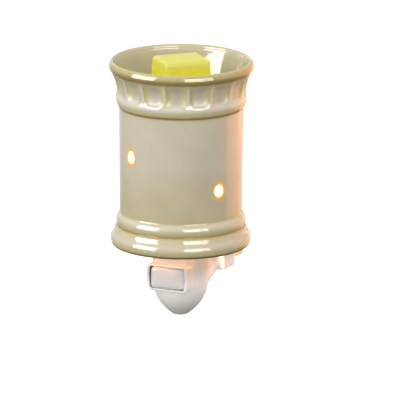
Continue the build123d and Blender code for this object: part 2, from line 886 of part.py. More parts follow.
# Switch case: an open box in the boss, with two ears that hold the rocker's trunnions
with BuildPart() as switch_case:
    with BuildSketch(switch_plane(case_front_y)):
        RectangleRounded(case_width, case_height, opening_corner)
    extrude(amount=case_front_y - case_back_y)
    with BuildSketch(switch_plane(case_front_y)):
        with GridLocations(0, case_height - case_wall, 1, 2):
            Rectangle(ear_width, case_wall)
    extrude(amount=case_front_y - pivot_y + ear_reach)
    with BuildSketch(switch_plane(case_front_y)):
        Rectangle(case_width - 2 * case_wall, case_height - 2 * case_wall)
    extrude(amount=case_front_y - case_back_y + case_floor, mode=Mode.SUBTRACT)
    with BuildSketch(Plane.XY.offset(switch_z)):
        with Locations((0, pivot_y)):
            Circle(trunnion_radius + running_clearance)
    extrude(amount=case_height, both=True, mode=Mode.SUBTRACT)
    for metal in (common_terminal, switched_terminal):
        add(metal.part, mode=Mode.SUBTRACT)

# Rocker: turned about its upright pivot so that its left end stands out and its right end is pressed
rock = radians(rocker_tilt_angle)
rock_plane = Plane(
    origin=(0, pivot_y, switch_z), x_dir=(cos(rock), sin(rock), 0), z_dir=(sin(rock), -cos(rock), 0)
)
pocket_radius = nose_width / 2 - plunger_radius

with BuildPart() as rocker:
    with BuildSketch(rock_plane.offset(rocker_face_depth - rocker_slab)):
        add(barrel(rocker_width, rocker_height, opening_bulge, rocker_corner))
    extrude(amount=rocker_slab)
    rocker_front = rocker.faces().filter_by(Axis((0, 0, 0), rock_plane.z_dir)).sort_by(Axis.Y)[0]
    fillet(rocker_front.edges(), radius=rocker_round)
    with BuildSketch(rock_plane.offset(-skirt_depth)):
        Rectangle(skirt_width, skirt_height)
    extrude(amount=skirt_depth + rocker_face_depth - rocker_slab)
    with BuildSketch(rock_plane.offset(-nose_depth)):
        Rectangle(nose_width, skirt_height / 2)
    extrude(amount=nose_depth)
    with BuildSketch(Plane.XY.offset(switch_z)):
        with Locations((0, pivot_y)):
            Circle(trunnion_radius)
    extrude(amount=skirt_height / 2 + trunnion_length, both=True)
    with BuildSketch(rock_plane.offset(-nose_depth)):
        Circle(pocket_radius)
    extrude(amount=nose_depth + skirt_depth, mode=Mode.SUBTRACT)

with BuildPart() as rocker_plunger:
    with BuildSketch(rock_plane.offset(-plunger_reach)):
        Circle(plunger_radius)
    extrude(amount=plunger_reach - nose_depth / 2)
    fillet(rocker_plunger.faces().sort_by(Axis.Y)[-1].edges(), plunger_radius / 2)

with BuildPart() as rocker_spring:
    with BuildSketch(rock_plane.offset(-nose_depth / 2)):
        Circle(plunger_radius)
        Circle(plunger_radius / 2, mode=Mode.SUBTRACT)
    extrude(amount=nose_depth / 2 + skirt_depth)


def wire(route, bend):
    """A round wire along a route of straight runs with bent corners."""
    with BuildPart() as run:
        with BuildLine() as path:
            FilletPolyline(*route, radius=bend)
        with BuildSketch(Plane(origin=path.line @ 0, z_dir=path.line % 0)):
            Circle(wire_radius)
        sweep(path=path.line)
    return run


# Wires: brush to switch, switch to lamp holder, and brush to lamp holder
line_tail_z = pin_tail_z - brush_thickness / 2
line_wire = wire(
    [
        (0, tail_y, line_tail_z),
        (0, tail_y - wire_lead, line_tail_z),
        (0, (tail_y + tail_end_y) / 2, line_tail_z - wire_slack),
        (0, tail_end_y + wire_lead, common_z),
        (0, tail_end_y, common_z),
    ],
    wire_sweep,
)
switch_wire = wire(
    [
        (-contact_offset, tail_end_y, switch_z),
        (-contact_offset, lead_y, switch_z),
        (-contact_offset, lead_y, strap_z),
    ],
    wire_bend,
)
neutral_wire = wire(
    [
        (0, tail_y, ring_brush_z),
        (0, tail_y - wire_lead, ring_brush_z),
        (shell_strap_x, lead_y, ring_brush_z),
        (shell_strap_x, lead_y, strap_z),
    ],
    wire_bend,
)

nodes = {
    "shade_body": shade_body,
    "shade_dish": shade_dish,
    "wax_melt": wax_melt,
    "lamp_plate": lamp_plate,
    "plate_screws": plate_screws,
    "base_cup": base_cup,
    "cover_ring": cover_ring,
    "lamp_holder": lamp_holder,
    "socket_shell": socket_shell,
    "socket_contact": socket_contact,
    "bulb_tip": bulb_tip,
    "bulb_insulator": bulb_insulator,
    "bulb_base": bulb_base,
    "bulb_glass": bulb_glass,
    "bulb_stem": bulb_stem,
    "bulb_filament": bulb_filament,
    "rocker": rocker,
    "rocker_plunger": rocker_plunger,
    "rocker_spring": rocker_spring,
    "switch_case": switch_case,
    "contact_arm": contact_arm,
    "common_terminal": common_terminal,
    "switched_terminal": switched_terminal,
    "plug_head": plug_head,
    "line_blade": line_blade,
    "neutral_blade": neutral_blade,
    "slip_ring": slip_ring,
    "swivel_clip": swivel_clip,
    "brush_carrier": brush_carrier,
    "line_brush": line_brush,
    "neutral_brush": neutral_brush,
    "line_wire": line_wire,
    "switch_wire": switch_wire,
    "neutral_wire": neutral_wire,
}
os.makedirs("parts", exist_ok=True)
for node_name, node in nodes.items():
    node.part.label = node_name
    export_step(node.part, f"parts/{node_name}.step")
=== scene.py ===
"""Looks for a plug-in wax melt warmer: glazed shade, wax, moulded base, switch, lamp and plug.

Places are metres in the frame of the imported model, whose origin is the centre of the plug's rear face, with
+Y into the wall and +Z up. Sizes inside the classes are millimetres, as a potter or a toolmaker gives them.
"""
import logging
import math
from dataclasses import dataclass
from enum import Enum
from functools import reduce

import bmesh
import bpy
import numpy as np
from mathutils import Matrix, Quaternion, Vector


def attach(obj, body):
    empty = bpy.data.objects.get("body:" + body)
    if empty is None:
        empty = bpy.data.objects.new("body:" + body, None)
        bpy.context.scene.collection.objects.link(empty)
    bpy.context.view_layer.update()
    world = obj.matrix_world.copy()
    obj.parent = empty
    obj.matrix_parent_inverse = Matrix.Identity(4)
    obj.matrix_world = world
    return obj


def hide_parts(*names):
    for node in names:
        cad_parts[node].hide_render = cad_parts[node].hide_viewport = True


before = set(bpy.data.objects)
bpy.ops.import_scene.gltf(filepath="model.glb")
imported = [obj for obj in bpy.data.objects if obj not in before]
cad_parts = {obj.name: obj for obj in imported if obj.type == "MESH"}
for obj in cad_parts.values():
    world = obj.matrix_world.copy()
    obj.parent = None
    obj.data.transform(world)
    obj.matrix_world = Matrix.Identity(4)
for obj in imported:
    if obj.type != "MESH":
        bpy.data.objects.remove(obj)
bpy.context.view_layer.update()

MM = 0.001
LAMP_AXIS_Y = -46.0
LOG = logging.getLogger("warmer")
Colour = tuple[float, float, float, float]
Keys = tuple[tuple[float, float], ...]
UNLIT: Colour = (0.0, 0.0, 0.0, 1.0)


class Slot(Enum):
    """The record's material slots."""

    STONEWARE = "glazed_stoneware"
    WAX = "yellow_wax"
    PLATED_STEEL = "plated_steel"
    SCREW_STEEL = "screw_steel"
    WHITE_PLASTIC = "white_plastic"
    ROCKER_PLASTIC = "rocker_plastic"
    HOLDER_PLASTIC = "holder_plastic"
    BRASS = "brass"
    SOLDER = "solder"
    BLACK_GLASS = "black_glass"
    NICKEL_BRASS = "nickel_brass"
    BULB_GLASS = "bulb_glass"
    STEM_GLASS = "stem_glass"
    FILAMENT = "filament_wire"
    SPRING_STEEL = "spring_steel"
    BLACK_PLASTIC = "black_plastic"
    BLADE_METAL = "blade_metal"
    BLACK_INSULATION = "black_insulation"
    WHITE_INSULATION = "white_insulation"


def tint(red: float, green: float, blue: float) -> Colour:
    """Turns a screen colour into the linear colour that a shader takes.

    Args:
        red: The red channel, 0 to 255.
        green: The green channel, 0 to 255.
        blue: The blue channel, 0 to 255.

    Returns:
        Linear red, green and blue with a full alpha.
    """
    shares = [value / 255.0 for value in (red, green, blue)]
    channels = [s / 12.92 if s <= 0.04045 else ((s + 0.055) / 1.055) ** 2.4 for s in shares]
    return (*channels, 1.0)


class Bench:
    """Adds shader nodes to one node tree and links them."""

    def __init__(self, tree: bpy.types.NodeTree) -> None:
        """Keeps the tree that the nodes go into."""
        self.tree = tree

    def add(self, kind: str, inputs: dict | None = None, **settings: object) -> bpy.types.Node:
        """Adds a node.

        Args:
            kind: The node's Blender type name.
            inputs: Values or sockets by input name or index.
            **settings: Properties of the node itself.

        Returns:
            The new node.
        """
        node = self.tree.nodes.new(kind)
        for name, value in settings.items():
            setattr(node, name, value)
        self.fill(node, inputs or {})
        return node

    def fill(self, node: bpy.types.Node, inputs: dict) -> None:
        """Links sockets to a node's inputs, or sets the inputs' own values.

        Args:
            node: The node.
            inputs: Values or sockets by input name or index.
        """
        for key, value in inputs.items():
            if isinstance(value, bpy.types.NodeSocket):
                self.tree.links.new(value, node.inputs[key])
            else:
                node.inputs[key].default_value = value

    def place(self) -> bpy.types.NodeSocket:
        """Gives the object coordinates, which are metres in the model's frame."""
        return self.add("ShaderNodeTexCoord").outputs["Object"]

    def split(self, vector: object = None) -> bpy.types.NodeOutputs:
        """Gives the three parts of a vector, or of the object coordinates."""
        return self.add("ShaderNodeSeparateXYZ", {0: vector or self.place()}).outputs

    def noise(self, scale: object, detail: float = 2.0, vector: object = None) -> bpy.types.NodeSocket:
        """Adds a noise texture.

        Args:
            scale: Noise cells per metre.
            detail: Octaves.
            vector: Where it is read, or None for the object coordinates.

        Returns:
            The noise value.
        """
        inputs = {"Vector": vector or self.place(), "Scale": scale, "Detail": detail}
        return self.add("ShaderNodeTexNoise", inputs).outputs["Fac"]

    def math(self, operation: str, first: object, second: object = 0.0) -> bpy.types.NodeSocket:
        """Adds a math node and gives its result."""
        return self.add("ShaderNodeMath", {0: first, 1: second}, operation=operation).outputs[0]

    def times(self, *values: object) -> object:
        """Multiplies values, two or more."""
        return reduce(lambda first, second: self.math("MULTIPLY", first, second), values)

    def spread(self, value: object, low: object, high: object, to_low: object = 0.0,
               to_high: object = 1.0) -> bpy.types.NodeSocket:
        """Maps a value smoothly from one range to another.

        Args:
            value: The value to map.
            low: The value that gives to_low.
            high: The value that gives to_high.
            to_low: The result at the low end.
            to_high: The result at the high end.

        Returns:
            The mapped value.
        """
        inputs = {"Value": value, 1: low, 2: high, 3: to_low, 4: to_high}
        return self.add("ShaderNodeMapRange", inputs, interpolation_type="SMOOTHSTEP").outputs[0]

    def blend(self, share: object, first: object, second: object) -> bpy.types.NodeSocket:
        """Mixes two colours by a share and gives the result."""
        return self.add("ShaderNodeMix", {0: share, 6: first, 7: second}, data_type="RGBA").outputs[2]

    def mask(self, name: str) -> bpy.types.NodeSocket:
        """Reads one of the masks that a piece's mesh carries."""
        return self.add("ShaderNodeAttribute", attribute_name=name).outputs["Fac"]

    def bump(self, height: object, depth: float) -> bpy.types.NodeSocket:
        """Makes the normal of a surface whose height rises and falls by a depth in millimetres."""
        return self.add("ShaderNodeBump", {"Height": height, "Distance": depth * MM, "Strength": 1.0}).outputs[0]


class EffectGroup:
    """A shader node group that several finishes share."""

    name = ""
    inputs: tuple[tuple[str, float], ...] = ()
    output = ""

    def tree(self) -> bpy.types.NodeTree:
        """Builds the group once.

        Returns:
            The group's node tree.
        """
        found = bpy.data.node_groups.get(self.name)
        if found:
            return found
        tree = bpy.data.node_groups.new(self.name, "ShaderNodeTree")
        for label, value in self.inputs:
            socket = tree.interface.new_socket(label, in_out="INPUT", socket_type="NodeSocketFloat")
            socket.default_value = value
        tree.interface.new_socket(self.output, in_out="OUTPUT", socket_type="NodeSocketFloat")
        bench = Bench(tree)
        given = bench.add("NodeGroupInput").outputs
        bench.add("NodeGroupOutput", {self.output: self.effect(bench, given)})
        return tree

    def effect(self, bench: Bench, given: object) -> bpy.types.NodeSocket:
        """Builds what the group puts out."""
        raise NotImplementedError

    def use(self, bench: Bench, **values: float) -> bpy.types.NodeSocket:
        """Places the group in a material.

        Args:
            bench: The material's bench.
            **values: Input values.

        Returns:
            The group's output.
        """
        return bench.add("ShaderNodeGroup", values, node_tree=self.tree()).outputs[0]


class Mottle(EffectGroup):
    """Slow cloudy differences of tone, as in glaze, wax and moulded plastic."""

    name = "mottle"
    inputs = (("Scale", 60.0), ("Low", 0.35), ("High", 0.65))
    output = "Tone"

    def effect(self, bench: Bench, given: object) -> bpy.types.NodeSocket:
        """Mixes a broad and a finer cloud."""
        broad = bench.noise(given["Scale"], 2.0)
        fine = bench.noise(bench.times(given["Scale"], 4.3), 3.0)
        cloud = bench.math("ADD", bench.times(broad, 0.7), bench.times(fine, 0.3))
        return bench.spread(cloud, given["Low"], given["High"])


class FineGrain(EffectGroup):
    """The fine tooth of a moulded, rolled or drawn surface."""

    name = "fine_grain"
    inputs = (("Scale", 4000.0), ("Stretch", 1.0))
    output = "Height"

    def effect(self, bench: Bench, given: object) -> bpy.types.NodeSocket:
        """Reads fine noise that can be drawn out along the height."""
        across = bench.add("ShaderNodeCombineXYZ", {0: 1.0, 1: 1.0, 2: given["Stretch"]}).outputs[0]
        spot = bench.add("ShaderNodeVectorMath", {0: bench.place(), 1: across}, operation="MULTIPLY")
        return bench.noise(given["Scale"], 3.0, spot.outputs[0])


class EdgeWear(EffectGroup):
    """Edges that hands and assembly have rubbed."""

    name = "edge_wear"
    inputs = (("Low", 0.52), ("High", 0.62))
    output = "Mask"

    def effect(self, bench: Bench, given: object) -> bpy.types.NodeSocket:
        """Breaks up the convex edges with noise."""
        edge = bench.add("ShaderNodeNewGeometry").outputs["Pointiness"]
        rubbed = bench.spread(edge, given["Low"], given["High"])
        return bench.times(rubbed, bench.spread(bench.noise(700.0), 0.3, 0.6))


class Dust(EffectGroup):
    """A little dust on what faces up."""

    name = "dust"
    inputs = (("Amount", 0.3), ("Scale", 900.0))
    output = "Mask"

    def effect(self, bench: Bench, given: object) -> bpy.types.NodeSocket:
        """Lets specks lie on the surfaces that face up."""
        normal = bench.add("ShaderNodeNewGeometry").outputs["Normal"]
        specks = bench.spread(bench.noise(given["Scale"], 4.0), 0.5, 0.75)
        return bench.times(bench.spread(bench.split(normal)[2], 0.2, 1.0), specks, given["Amount"])


@dataclass(frozen=True)
class Finish:
    """A finish of one material slot.

    Attributes:
        slot: The record's slot.
        colour: Its main colour.
        second: The colour that it drifts towards.
        roughness: How matt it is.
    """

    slot: Slot
    colour: Colour
    second: Colour
    roughness: float = 0.35

    def material(self) -> bpy.types.Material:
        """Builds the material once.

        Returns:
            The material of this finish.
        """
        name = self.slot.value
        found = bpy.data.materials.get(f"finish_{name}")
        if found:
            return found
        made = bpy.data.materials.new(f"finish_{name}")
        made.use_nodes = True
        made.node_tree.nodes.clear()
        bench = Bench(made.node_tree)
        shader = bench.add("ShaderNodeBsdfPrincipled")
        self.dress(bench, shader)
        bench.add("ShaderNodeOutputMaterial", {"Surface": shader.outputs[0]})
        return made

    def dress(self, bench: Bench, shader: bpy.types.Node) -> None:
        """Feeds the shader. Each kind of finish does it its own way."""
        raise NotImplementedError

    def drift(self, bench: Bench, tone: object) -> bpy.types.NodeSocket:
        """Lets the colour drift towards the second one with a tone."""
        return bench.blend(tone, self.colour, self.second)

    def dull(self, bench: Bench, tone: object, more: float) -> bpy.types.NodeSocket:
        """Raises the roughness with a tone, by as much as more."""
        return bench.spread(tone, 0.0, 1.0, self.roughness, self.roughness + more)


@dataclass(frozen=True)
class GlazedStoneware(Finish):
    """A glossy running glaze over a brown clay body.

    Attributes:
        thick: The glaze that has run down the wall.
        olive: The glaze that lies in hollows.
        deep: The glaze pooled thickest in the sharpest creases, darker there partly as painted shade.
        grey_and_hollow_shade: A greyer glaze tone on the niches' and the dish's walls, darkened as painted shade.
        milk: The glaze that breaks thin over crests.
        clay: Bare clay, and its specks in the glaze.
        painted_amber: A painted glow colour round the glow holes, for the lamp's light showing through.
        glow: The painted glow round the holes, an emission of the glaze itself.
        painted_white_hot: The painted glow on the holes' own walls, also an emission of the glaze.
        painted_glow_strength: How strong both painted glows are.
        run_top: The height where the glaze starts to run, in metres.
        run_foot: The height where it has run thick, in metres.
        niche_roughness: How matt the niches are.
        clay_roughness: How matt the clay is.
    """

    thick: Colour = tint(188, 177, 138)
    olive: Colour = tint(196, 183, 118)
    deep: Colour = tint(134, 108, 62)
    grey_and_hollow_shade: Colour = tint(184, 180, 170)
    milk: Colour = tint(226, 223, 208)
    clay: Colour = tint(104, 66, 32)
    painted_amber: Colour = tint(186, 138, 56)
    glow: Colour = (1.0, 0.38, 0.0, 1.0)
    painted_white_hot: Colour = (1.0, 0.8, 0.5, 1.0)
    painted_glow_strength: float = 1.2
    run_top: float = 0.082
    run_foot: float = 0.03
    niche_roughness: float = 0.42
    clay_roughness: float = 0.6

    def dress(self, bench: Bench, shader: bpy.types.Node) -> None:
        """Lets the glaze pool in hollows, run down the wall and break pale over the crests."""
        cloud = Mottle().use(bench, Scale=34.0, Low=0.3, High=0.7)
        runs = bench.spread(bench.split()[2], self.run_top, self.run_foot)
        ragged = bench.spread(bench.noise(260.0, 3.0), 0.2, 0.75, 0.75, 1.15)
        thin = bench.spread(bench.noise(420.0), 0.2, 0.55, 0.7, 1.0)
        speck = bench.add("ShaderNodeTexVoronoi", {"Vector": bench.place(), "Scale": 210.0}).outputs["Distance"]
        rare = bench.spread(bench.noise(160.0, 1.0), 0.66, 0.7)
        colour = self.drift(bench, cloud)
        for share, layer in (
            (bench.times(runs, bench.spread(cloud, 0.0, 1.0, 0.45, 0.75)), self.thick),
            # A greyer, darker tone in the niches and the dish: partly painted shade of these hollows.
            (bench.mask("grey_hollow_shade"), self.grey_and_hollow_shade),
            (bench.times(bench.mask("pool"), ragged), self.olive),
            # Deep brown where the pool mask is strongest: thick glaze, partly painted shade in the creases.
            (bench.spread(bench.mask("pool"), 0.78, 1.0, 0.0, 0.7), self.deep),
            (bench.times(bench.mask("crest"), thin), self.milk),
            (bench.times(bench.spread(speck, 0.09, 0.05), rare, 0.5), self.clay),
            # Painted glow: an amber ring round each glow hole.
            (bench.mask("rim"), self.painted_amber),
            (bench.mask("bare"), self.clay),
        ):
            colour = bench.blend(share, colour, layer)
        matt = bench.spread(bench.mask("matt"), 0.0, 1.0, self.roughness, self.niche_roughness)
        # Painted glow: the glaze emits orange round the holes and a paler glow on their walls.
        painted_halo = bench.blend(bench.mask("painted_halo"), UNLIT, self.glow)
        bench.fill(shader, {
            "Base Color": colour, "IOR": 1.55,
            "Roughness": bench.spread(bench.mask("bare"), 0.2, 0.9, matt, self.clay_roughness),
            "Emission Color": bench.blend(bench.mask("hot"), painted_halo, self.painted_white_hot),
            "Emission Strength": self.painted_glow_strength,
            "Normal": bench.bump(bench.noise(70.0, 2.0), 0.22),
        })


@dataclass(frozen=True)
class CastWax(Finish):
    """Soft, slightly greasy wax that light sinks into.

    Attributes:
        pale_z: The height where it is palest, in metres.
        deep_z: The height where it is deepest in colour, in metres.
    """

    pale_z: float = 0.1202
    deep_z: float = 0.1115

    def dress(self, bench: Bench, shader: bpy.types.Node) -> None:
        """Makes the wax cloudy, lets light through it and paints a faint glow of its own colour on it."""
        cloud = Mottle().use(bench, Scale=70.0, Low=0.35, High=0.7)
        deep = bench.spread(bench.split()[2], self.pale_z, self.deep_z, 0.0, 0.8)
        colour = self.drift(bench, bench.math("ADD", bench.times(cloud, 0.2), deep))
        uneven = bench.math("ADD", bench.noise(320.0, 4.0), bench.times(bench.noise(2400.0), 0.12))
        # Painted glow: the wax emits a little of its own colour.
        bench.fill(shader, {
            "Base Color": colour, "Emission Color": colour, "Emission Strength": 0.19,
            "Roughness": self.dull(bench, cloud, 0.15), "IOR": 1.38, "Specular IOR Level": 0.25,
            "Subsurface Weight": 0.55, "Subsurface Radius": (1.0, 0.85, 0.1), "Subsurface Scale": 0.005,
            "Normal": bench.bump(uneven, 0.22),
        })


@dataclass(frozen=True)
class MouldedPlastic(Finish):
    """An injection moulding with a fine spark-eroded tooth.

    Attributes:
        grain: Cells of the tooth per metre.
        depth: How deep the tooth is, in millimetres.
        dust: How much dust lies on it.
        translucency: How far light sinks into it.
    """

    grain: float = 3600.0
    depth: float = 0.012
    dust: float = 0.25
    translucency: float = 0.0

    def dress(self, bench: Bench, shader: bpy.types.Node) -> None:
        """Gives the moulding drift of tone, rubbed edges and a fine tooth."""
        cloud = Mottle().use(bench, Scale=55.0, Low=0.3, High=0.7)
        rubbed = EdgeWear().use(bench, Low=0.53, High=0.66)
        bright = bench.blend(bench.times(rubbed, 0.35), self.drift(bench, cloud), tint(250, 249, 246))
        settled = bench.blend(Dust().use(bench, Amount=self.dust), bright, tint(190, 184, 172))
        tooth = FineGrain().use(bench, Scale=self.grain)
        bench.fill(shader, {
            "Base Color": self.paint(bench, settled), "Roughness": self.dull(bench, cloud, 0.1),
            "Subsurface Weight": self.translucency, "Subsurface Radius": (1.0, 0.7, 0.5),
            "Subsurface Scale": 0.002, "Normal": bench.bump(tooth, self.depth), **self.lit(bench),
        })

    def paint(self, bench: Bench, colour: bpy.types.NodeSocket) -> bpy.types.NodeSocket:
        """Leaves the colour as it is, where a moulding has no painted shade."""
        return colour

    def lit(self, bench: Bench) -> dict:
        """Gives the moulding no painted glow."""
        return {}


@dataclass(frozen=True)
class SwitchMoulding(MouldedPlastic):
    """The white base moulding, with painted shade inside its switch opening and a faint painted glow on the cup.

    Attributes:
        reach: Half the opening's width and height, in metres.
        start: Where the painted shade begins behind the boss's face, along Y, in metres.
        fade: How soon it is full, along Y, in metres.
        stop: Where it ends inside the cup, along Y, in metres.
        middle: The height of the opening's middle, in metres.
        inside: The painted shade's colour in there.
    """

    reach: tuple[float, float] = (0.0111, 0.00645)
    start: float = -0.0622
    fade: float = 0.0005
    stop: float = -0.0485
    middle: float = -0.0004
    inside: Colour = tint(74, 56, 42)

    def paint(self, bench: Bench, colour: bpy.types.NodeSocket) -> bpy.types.NodeSocket:
        """Paints shade on what lies inside the opening, behind its front edge."""
        across, along, height = bench.split()
        wide = bench.math("LESS_THAN", bench.math("ABSOLUTE", across), self.reach[0])
        rise = bench.math("ABSOLUTE", bench.math("SUBTRACT", height, self.middle))
        high = bench.math("LESS_THAN", rise, self.reach[1])
        behind = bench.spread(along, self.start, self.start + self.fade)
        ahead = bench.math("LESS_THAN", along, self.stop)
        # Painted shade: the opening's walls go dark brown.
        return bench.blend(bench.times(wide, high, behind, ahead), colour, self.inside)

    def lit(self, bench: Bench) -> dict:
        """Paints a faint white glow, an emission of the moulding itself, on a band round the cup's middle."""
        height = bench.split()[2]
        share = bench.times(bench.spread(height, -0.022, -0.008), bench.spread(height, 0.004, -0.004))
        # Painted glow: the cup emits light though it is no lamp.
        return {"Emission Color": bench.blend(share, UNLIT, (1.0, 0.97, 0.95, 1.0)), "Emission Strength": 0.15}


@dataclass(frozen=True)
class BareMetal(Finish):
    """Plated, rolled or drawn metal.

    Attributes:
        grain: Cells of the drawn lines per metre.
        stretch: How far they are drawn out along the height, less for longer lines.
        depth: How deep they are, in millimetres.
    """

    grain: float = 5200.0
    stretch: float = 0.08
    depth: float = 0.01

    def dress(self, bench: Bench, shader: bpy.types.Node) -> None:
        """Gives the metal stains, drawn lines and bright rubbed edges."""
        stain = Mottle().use(bench, Scale=190.0, Low=0.35, High=0.7)
        worn = EdgeWear().use(bench, Low=0.52, High=0.6)
        drawn = FineGrain().use(bench, Scale=self.grain, Stretch=self.stretch)
        bench.fill(shader, {
            "Base Color": bench.blend(worn, self.drift(bench, stain), self.colour), "Metallic": 1.0,
            "Roughness": self.dull(bench, stain, 0.18), "Normal": bench.bump(drawn, self.depth),
        })


@dataclass(frozen=True)
class LampGlass(Finish):
    """Blown glass, faintly uneven, lit from inside, whose strength says how brightly."""

    strength: float = 0.0

    def dress(self, bench: Bench, shader: bpy.types.Node) -> None:
        """Makes the glass clear with a warm film."""
        cloud = Mottle().use(bench, Scale=120.0)
        bench.fill(shader, {
            "Base Color": self.drift(bench, cloud), "Roughness": self.dull(bench, cloud, 0.05),
            "Transmission Weight": 1.0, "IOR": 1.5, "Emission Strength": self.strength,
            "Emission Color": bench.blend(cloud, (1.0, 0.66, 0.3, 1.0), (1.0, 0.74, 0.4, 1.0)),
            "Normal": bench.bump(bench.noise(240.0, 1.0), 0.05),
        })


@dataclass(frozen=True)
class GlowingWire(Finish):
    """A white-hot filament whose ends are a little cooler."""

    def dress(self, bench: Bench, shader: bpy.types.Node) -> None:
        """Makes the wire glow."""
        cloud = Mottle().use(bench, Scale=900.0)
        bench.fill(shader, {
            "Base Color": self.drift(bench, cloud), "Metallic": 1.0, "Roughness": self.dull(bench, cloud, 0.15),
            "Emission Color": bench.blend(cloud, (1.0, 0.78, 0.42, 1.0), (1.0, 0.66, 0.3, 1.0)),
            "Emission Strength": 14.0,
        })


@dataclass(frozen=True)
class WireInsulation(Finish):
    """Extruded insulation with a matt skin and a few scuffs."""

    def dress(self, bench: Bench, shader: bpy.types.Node) -> None:
        """Gives the skin scuffs and fine die lines."""
        scuff = Mottle().use(bench, Scale=380.0, Low=0.45, High=0.75)
        bench.fill(shader, {
            "Base Color": self.drift(bench, scuff), "Roughness": self.dull(bench, scuff, 0.2),
            "Normal": bench.bump(FineGrain().use(bench, Scale=2600.0), 0.02),
        })


FINISHES: dict[Slot, Finish] = {
    made.slot: made
    for made in (
        GlazedStoneware(Slot.STONEWARE, tint(213, 205, 187), tint(204, 196, 176), 0.08),
        CastWax(Slot.WAX, tint(206, 201, 104), tint(232, 224, 3), 0.28),
        SwitchMoulding(Slot.WHITE_PLASTIC, tint(238, 235, 231), tint(231, 228, 223), 0.32, translucency=0.15),
        MouldedPlastic(Slot.ROCKER_PLASTIC, tint(238, 235, 234), tint(231, 228, 227), 0.28),
        MouldedPlastic(Slot.HOLDER_PLASTIC, tint(226, 219, 203), tint(214, 205, 186), 0.5),
        MouldedPlastic(Slot.BLACK_PLASTIC, tint(44, 34, 28), tint(54, 42, 34), 0.6, dust=0.05),
        MouldedPlastic(Slot.BLACK_GLASS, tint(18, 18, 22), tint(30, 28, 34), 0.12, depth=0.004),
        BareMetal(Slot.PLATED_STEEL, tint(206, 206, 202), tint(176, 175, 168), 0.3),
        BareMetal(Slot.SCREW_STEEL, tint(204, 204, 200), tint(168, 167, 160), 0.26),
        BareMetal(Slot.BRASS, tint(214, 178, 106), tint(178, 140, 72), 0.28),
        BareMetal(Slot.SOLDER, tint(190, 191, 194), tint(150, 151, 156), 0.42),
        BareMetal(Slot.NICKEL_BRASS, tint(212, 208, 198), tint(186, 178, 160), 0.22),
        BareMetal(Slot.SPRING_STEEL, tint(184, 185, 188), tint(140, 141, 146), 0.3),
        BareMetal(Slot.BLADE_METAL, tint(214, 204, 172), tint(186, 170, 128), 0.24),
        LampGlass(Slot.BULB_GLASS, tint(255, 246, 228), tint(255, 240, 214), 0.03, strength=1.0),
        LampGlass(Slot.STEM_GLASS, tint(246, 246, 242), tint(236, 238, 234), 0.02),
        GlowingWire(Slot.FILAMENT, tint(255, 226, 180), tint(240, 200, 150)),
        WireInsulation(Slot.BLACK_INSULATION, tint(30, 30, 30), tint(52, 50, 48), 0.5),
        WireInsulation(Slot.WHITE_INSULATION, tint(226, 224, 216), tint(204, 200, 190), 0.5),
    )
}


def dress(piece: bpy.types.Object, slot: Slot) -> None:
    """Gives a piece one finish.

    Args:
        piece: The piece or CAD node.
        slot: The slot whose finish it takes.
    """
    material = FINISHES[slot].material()
    if piece.material_slots:
        for place in piece.material_slots:
            place.material = material
    else:
        piece.data.materials.append(material)


def dress_nodes(slots: dict[str, Slot]) -> None:
    """Dresses CAD nodes and reports them.

    Args:
        slots: The slot of each node.
    """
    for node, slot in slots.items():
        dress(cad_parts[node], slot)
        LOG.info("dressed %s in %s", node, slot.value)


def placed(name: str, data: bpy.types.ID) -> bpy.types.Object:
    """Makes an object and puts it in the scene.

    Args:
        name: Its name.
        data: Its mesh, light or camera.

    Returns:
        The object.
    """
    made = bpy.data.objects.new(name, data)
    bpy.context.scene.collection.objects.link(made)
    return made


def add_piece(name: str, points: np.ndarray, faces: list, body: str, slot: Slot, nodes: tuple[str, ...] = (),
              masks: dict[str, np.ndarray] | None = None) -> bpy.types.Object:
    """Makes a smooth mesh piece, dresses it and sets it on its body.

    Args:
        name: The piece's name.
        points: Its points in millimetres, one row each.
        faces: Its faces as lists of point numbers.
        body: The CAD body that it rides on.
        slot: The slot whose finish it takes.
        nodes: The CAD nodes that it stands for.
        masks: One value for each point, by the mask's name.

    Returns:
        The new piece.
    """
    mesh = bpy.data.meshes.new(name)
    mesh.from_pydata((points * MM).tolist(), [], faces)
    mesh.update()
    build = bmesh.new()
    build.from_mesh(mesh)
    bmesh.ops.recalc_face_normals(build, faces=build.faces)
    build.to_mesh(mesh)
    build.free()
    mesh.shade_smooth()
    for label, values in (masks or {}).items():
        made = mesh.attributes.new(label, "FLOAT", "POINT")
        made.data.foreach_set("value", values.astype(np.float32))
    piece = placed(name, mesh)
    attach(piece, body)
    if nodes:
        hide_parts(*nodes)
    dress(piece, slot)
    LOG.info("made %s with %d faces", name, len(mesh.polygons))
    return piece


def arc(first: tuple, middle: tuple, last: tuple, step: float) -> list[tuple[float, float]]:
    """Points along the circle arc through three points, with the first left out.

    Args:
        first: Where the arc starts.
        middle: A point on it.
        last: Where it ends.
        step: How far apart the points are.

    Returns:
        The points, the last one included.
    """
    (ax, ay), (bx, by), (cx, cy) = first, middle, last
    twice = 2.0 * (ax * (by - cy) + bx * (cy - ay) + cx * (ay - by))
    a2, b2, c2 = ax * ax + ay * ay, bx * bx + by * by, cx * cx + cy * cy
    ox = (a2 * (by - cy) + b2 * (cy - ay) + c2 * (ay - by)) / twice
    oy = (a2 * (cx - bx) + b2 * (ax - cx) + c2 * (bx - ax)) / twice
    radius = math.hypot(ax - ox, ay - oy)
    start, mid, end = (math.atan2(y - oy, x - ox) for x, y in (first, middle, last))
    turn = (end - start) % math.tau
    if not 0.0 <= (mid - start) % math.tau <= turn:
        turn -= math.tau
    count = max(2, round(abs(turn) * radius / step))
    return [
        (ox + radius * math.cos(start + turn * i / count), oy + radius * math.sin(start + turn * i / count))
        for i in range(1, count + 1)
    ]


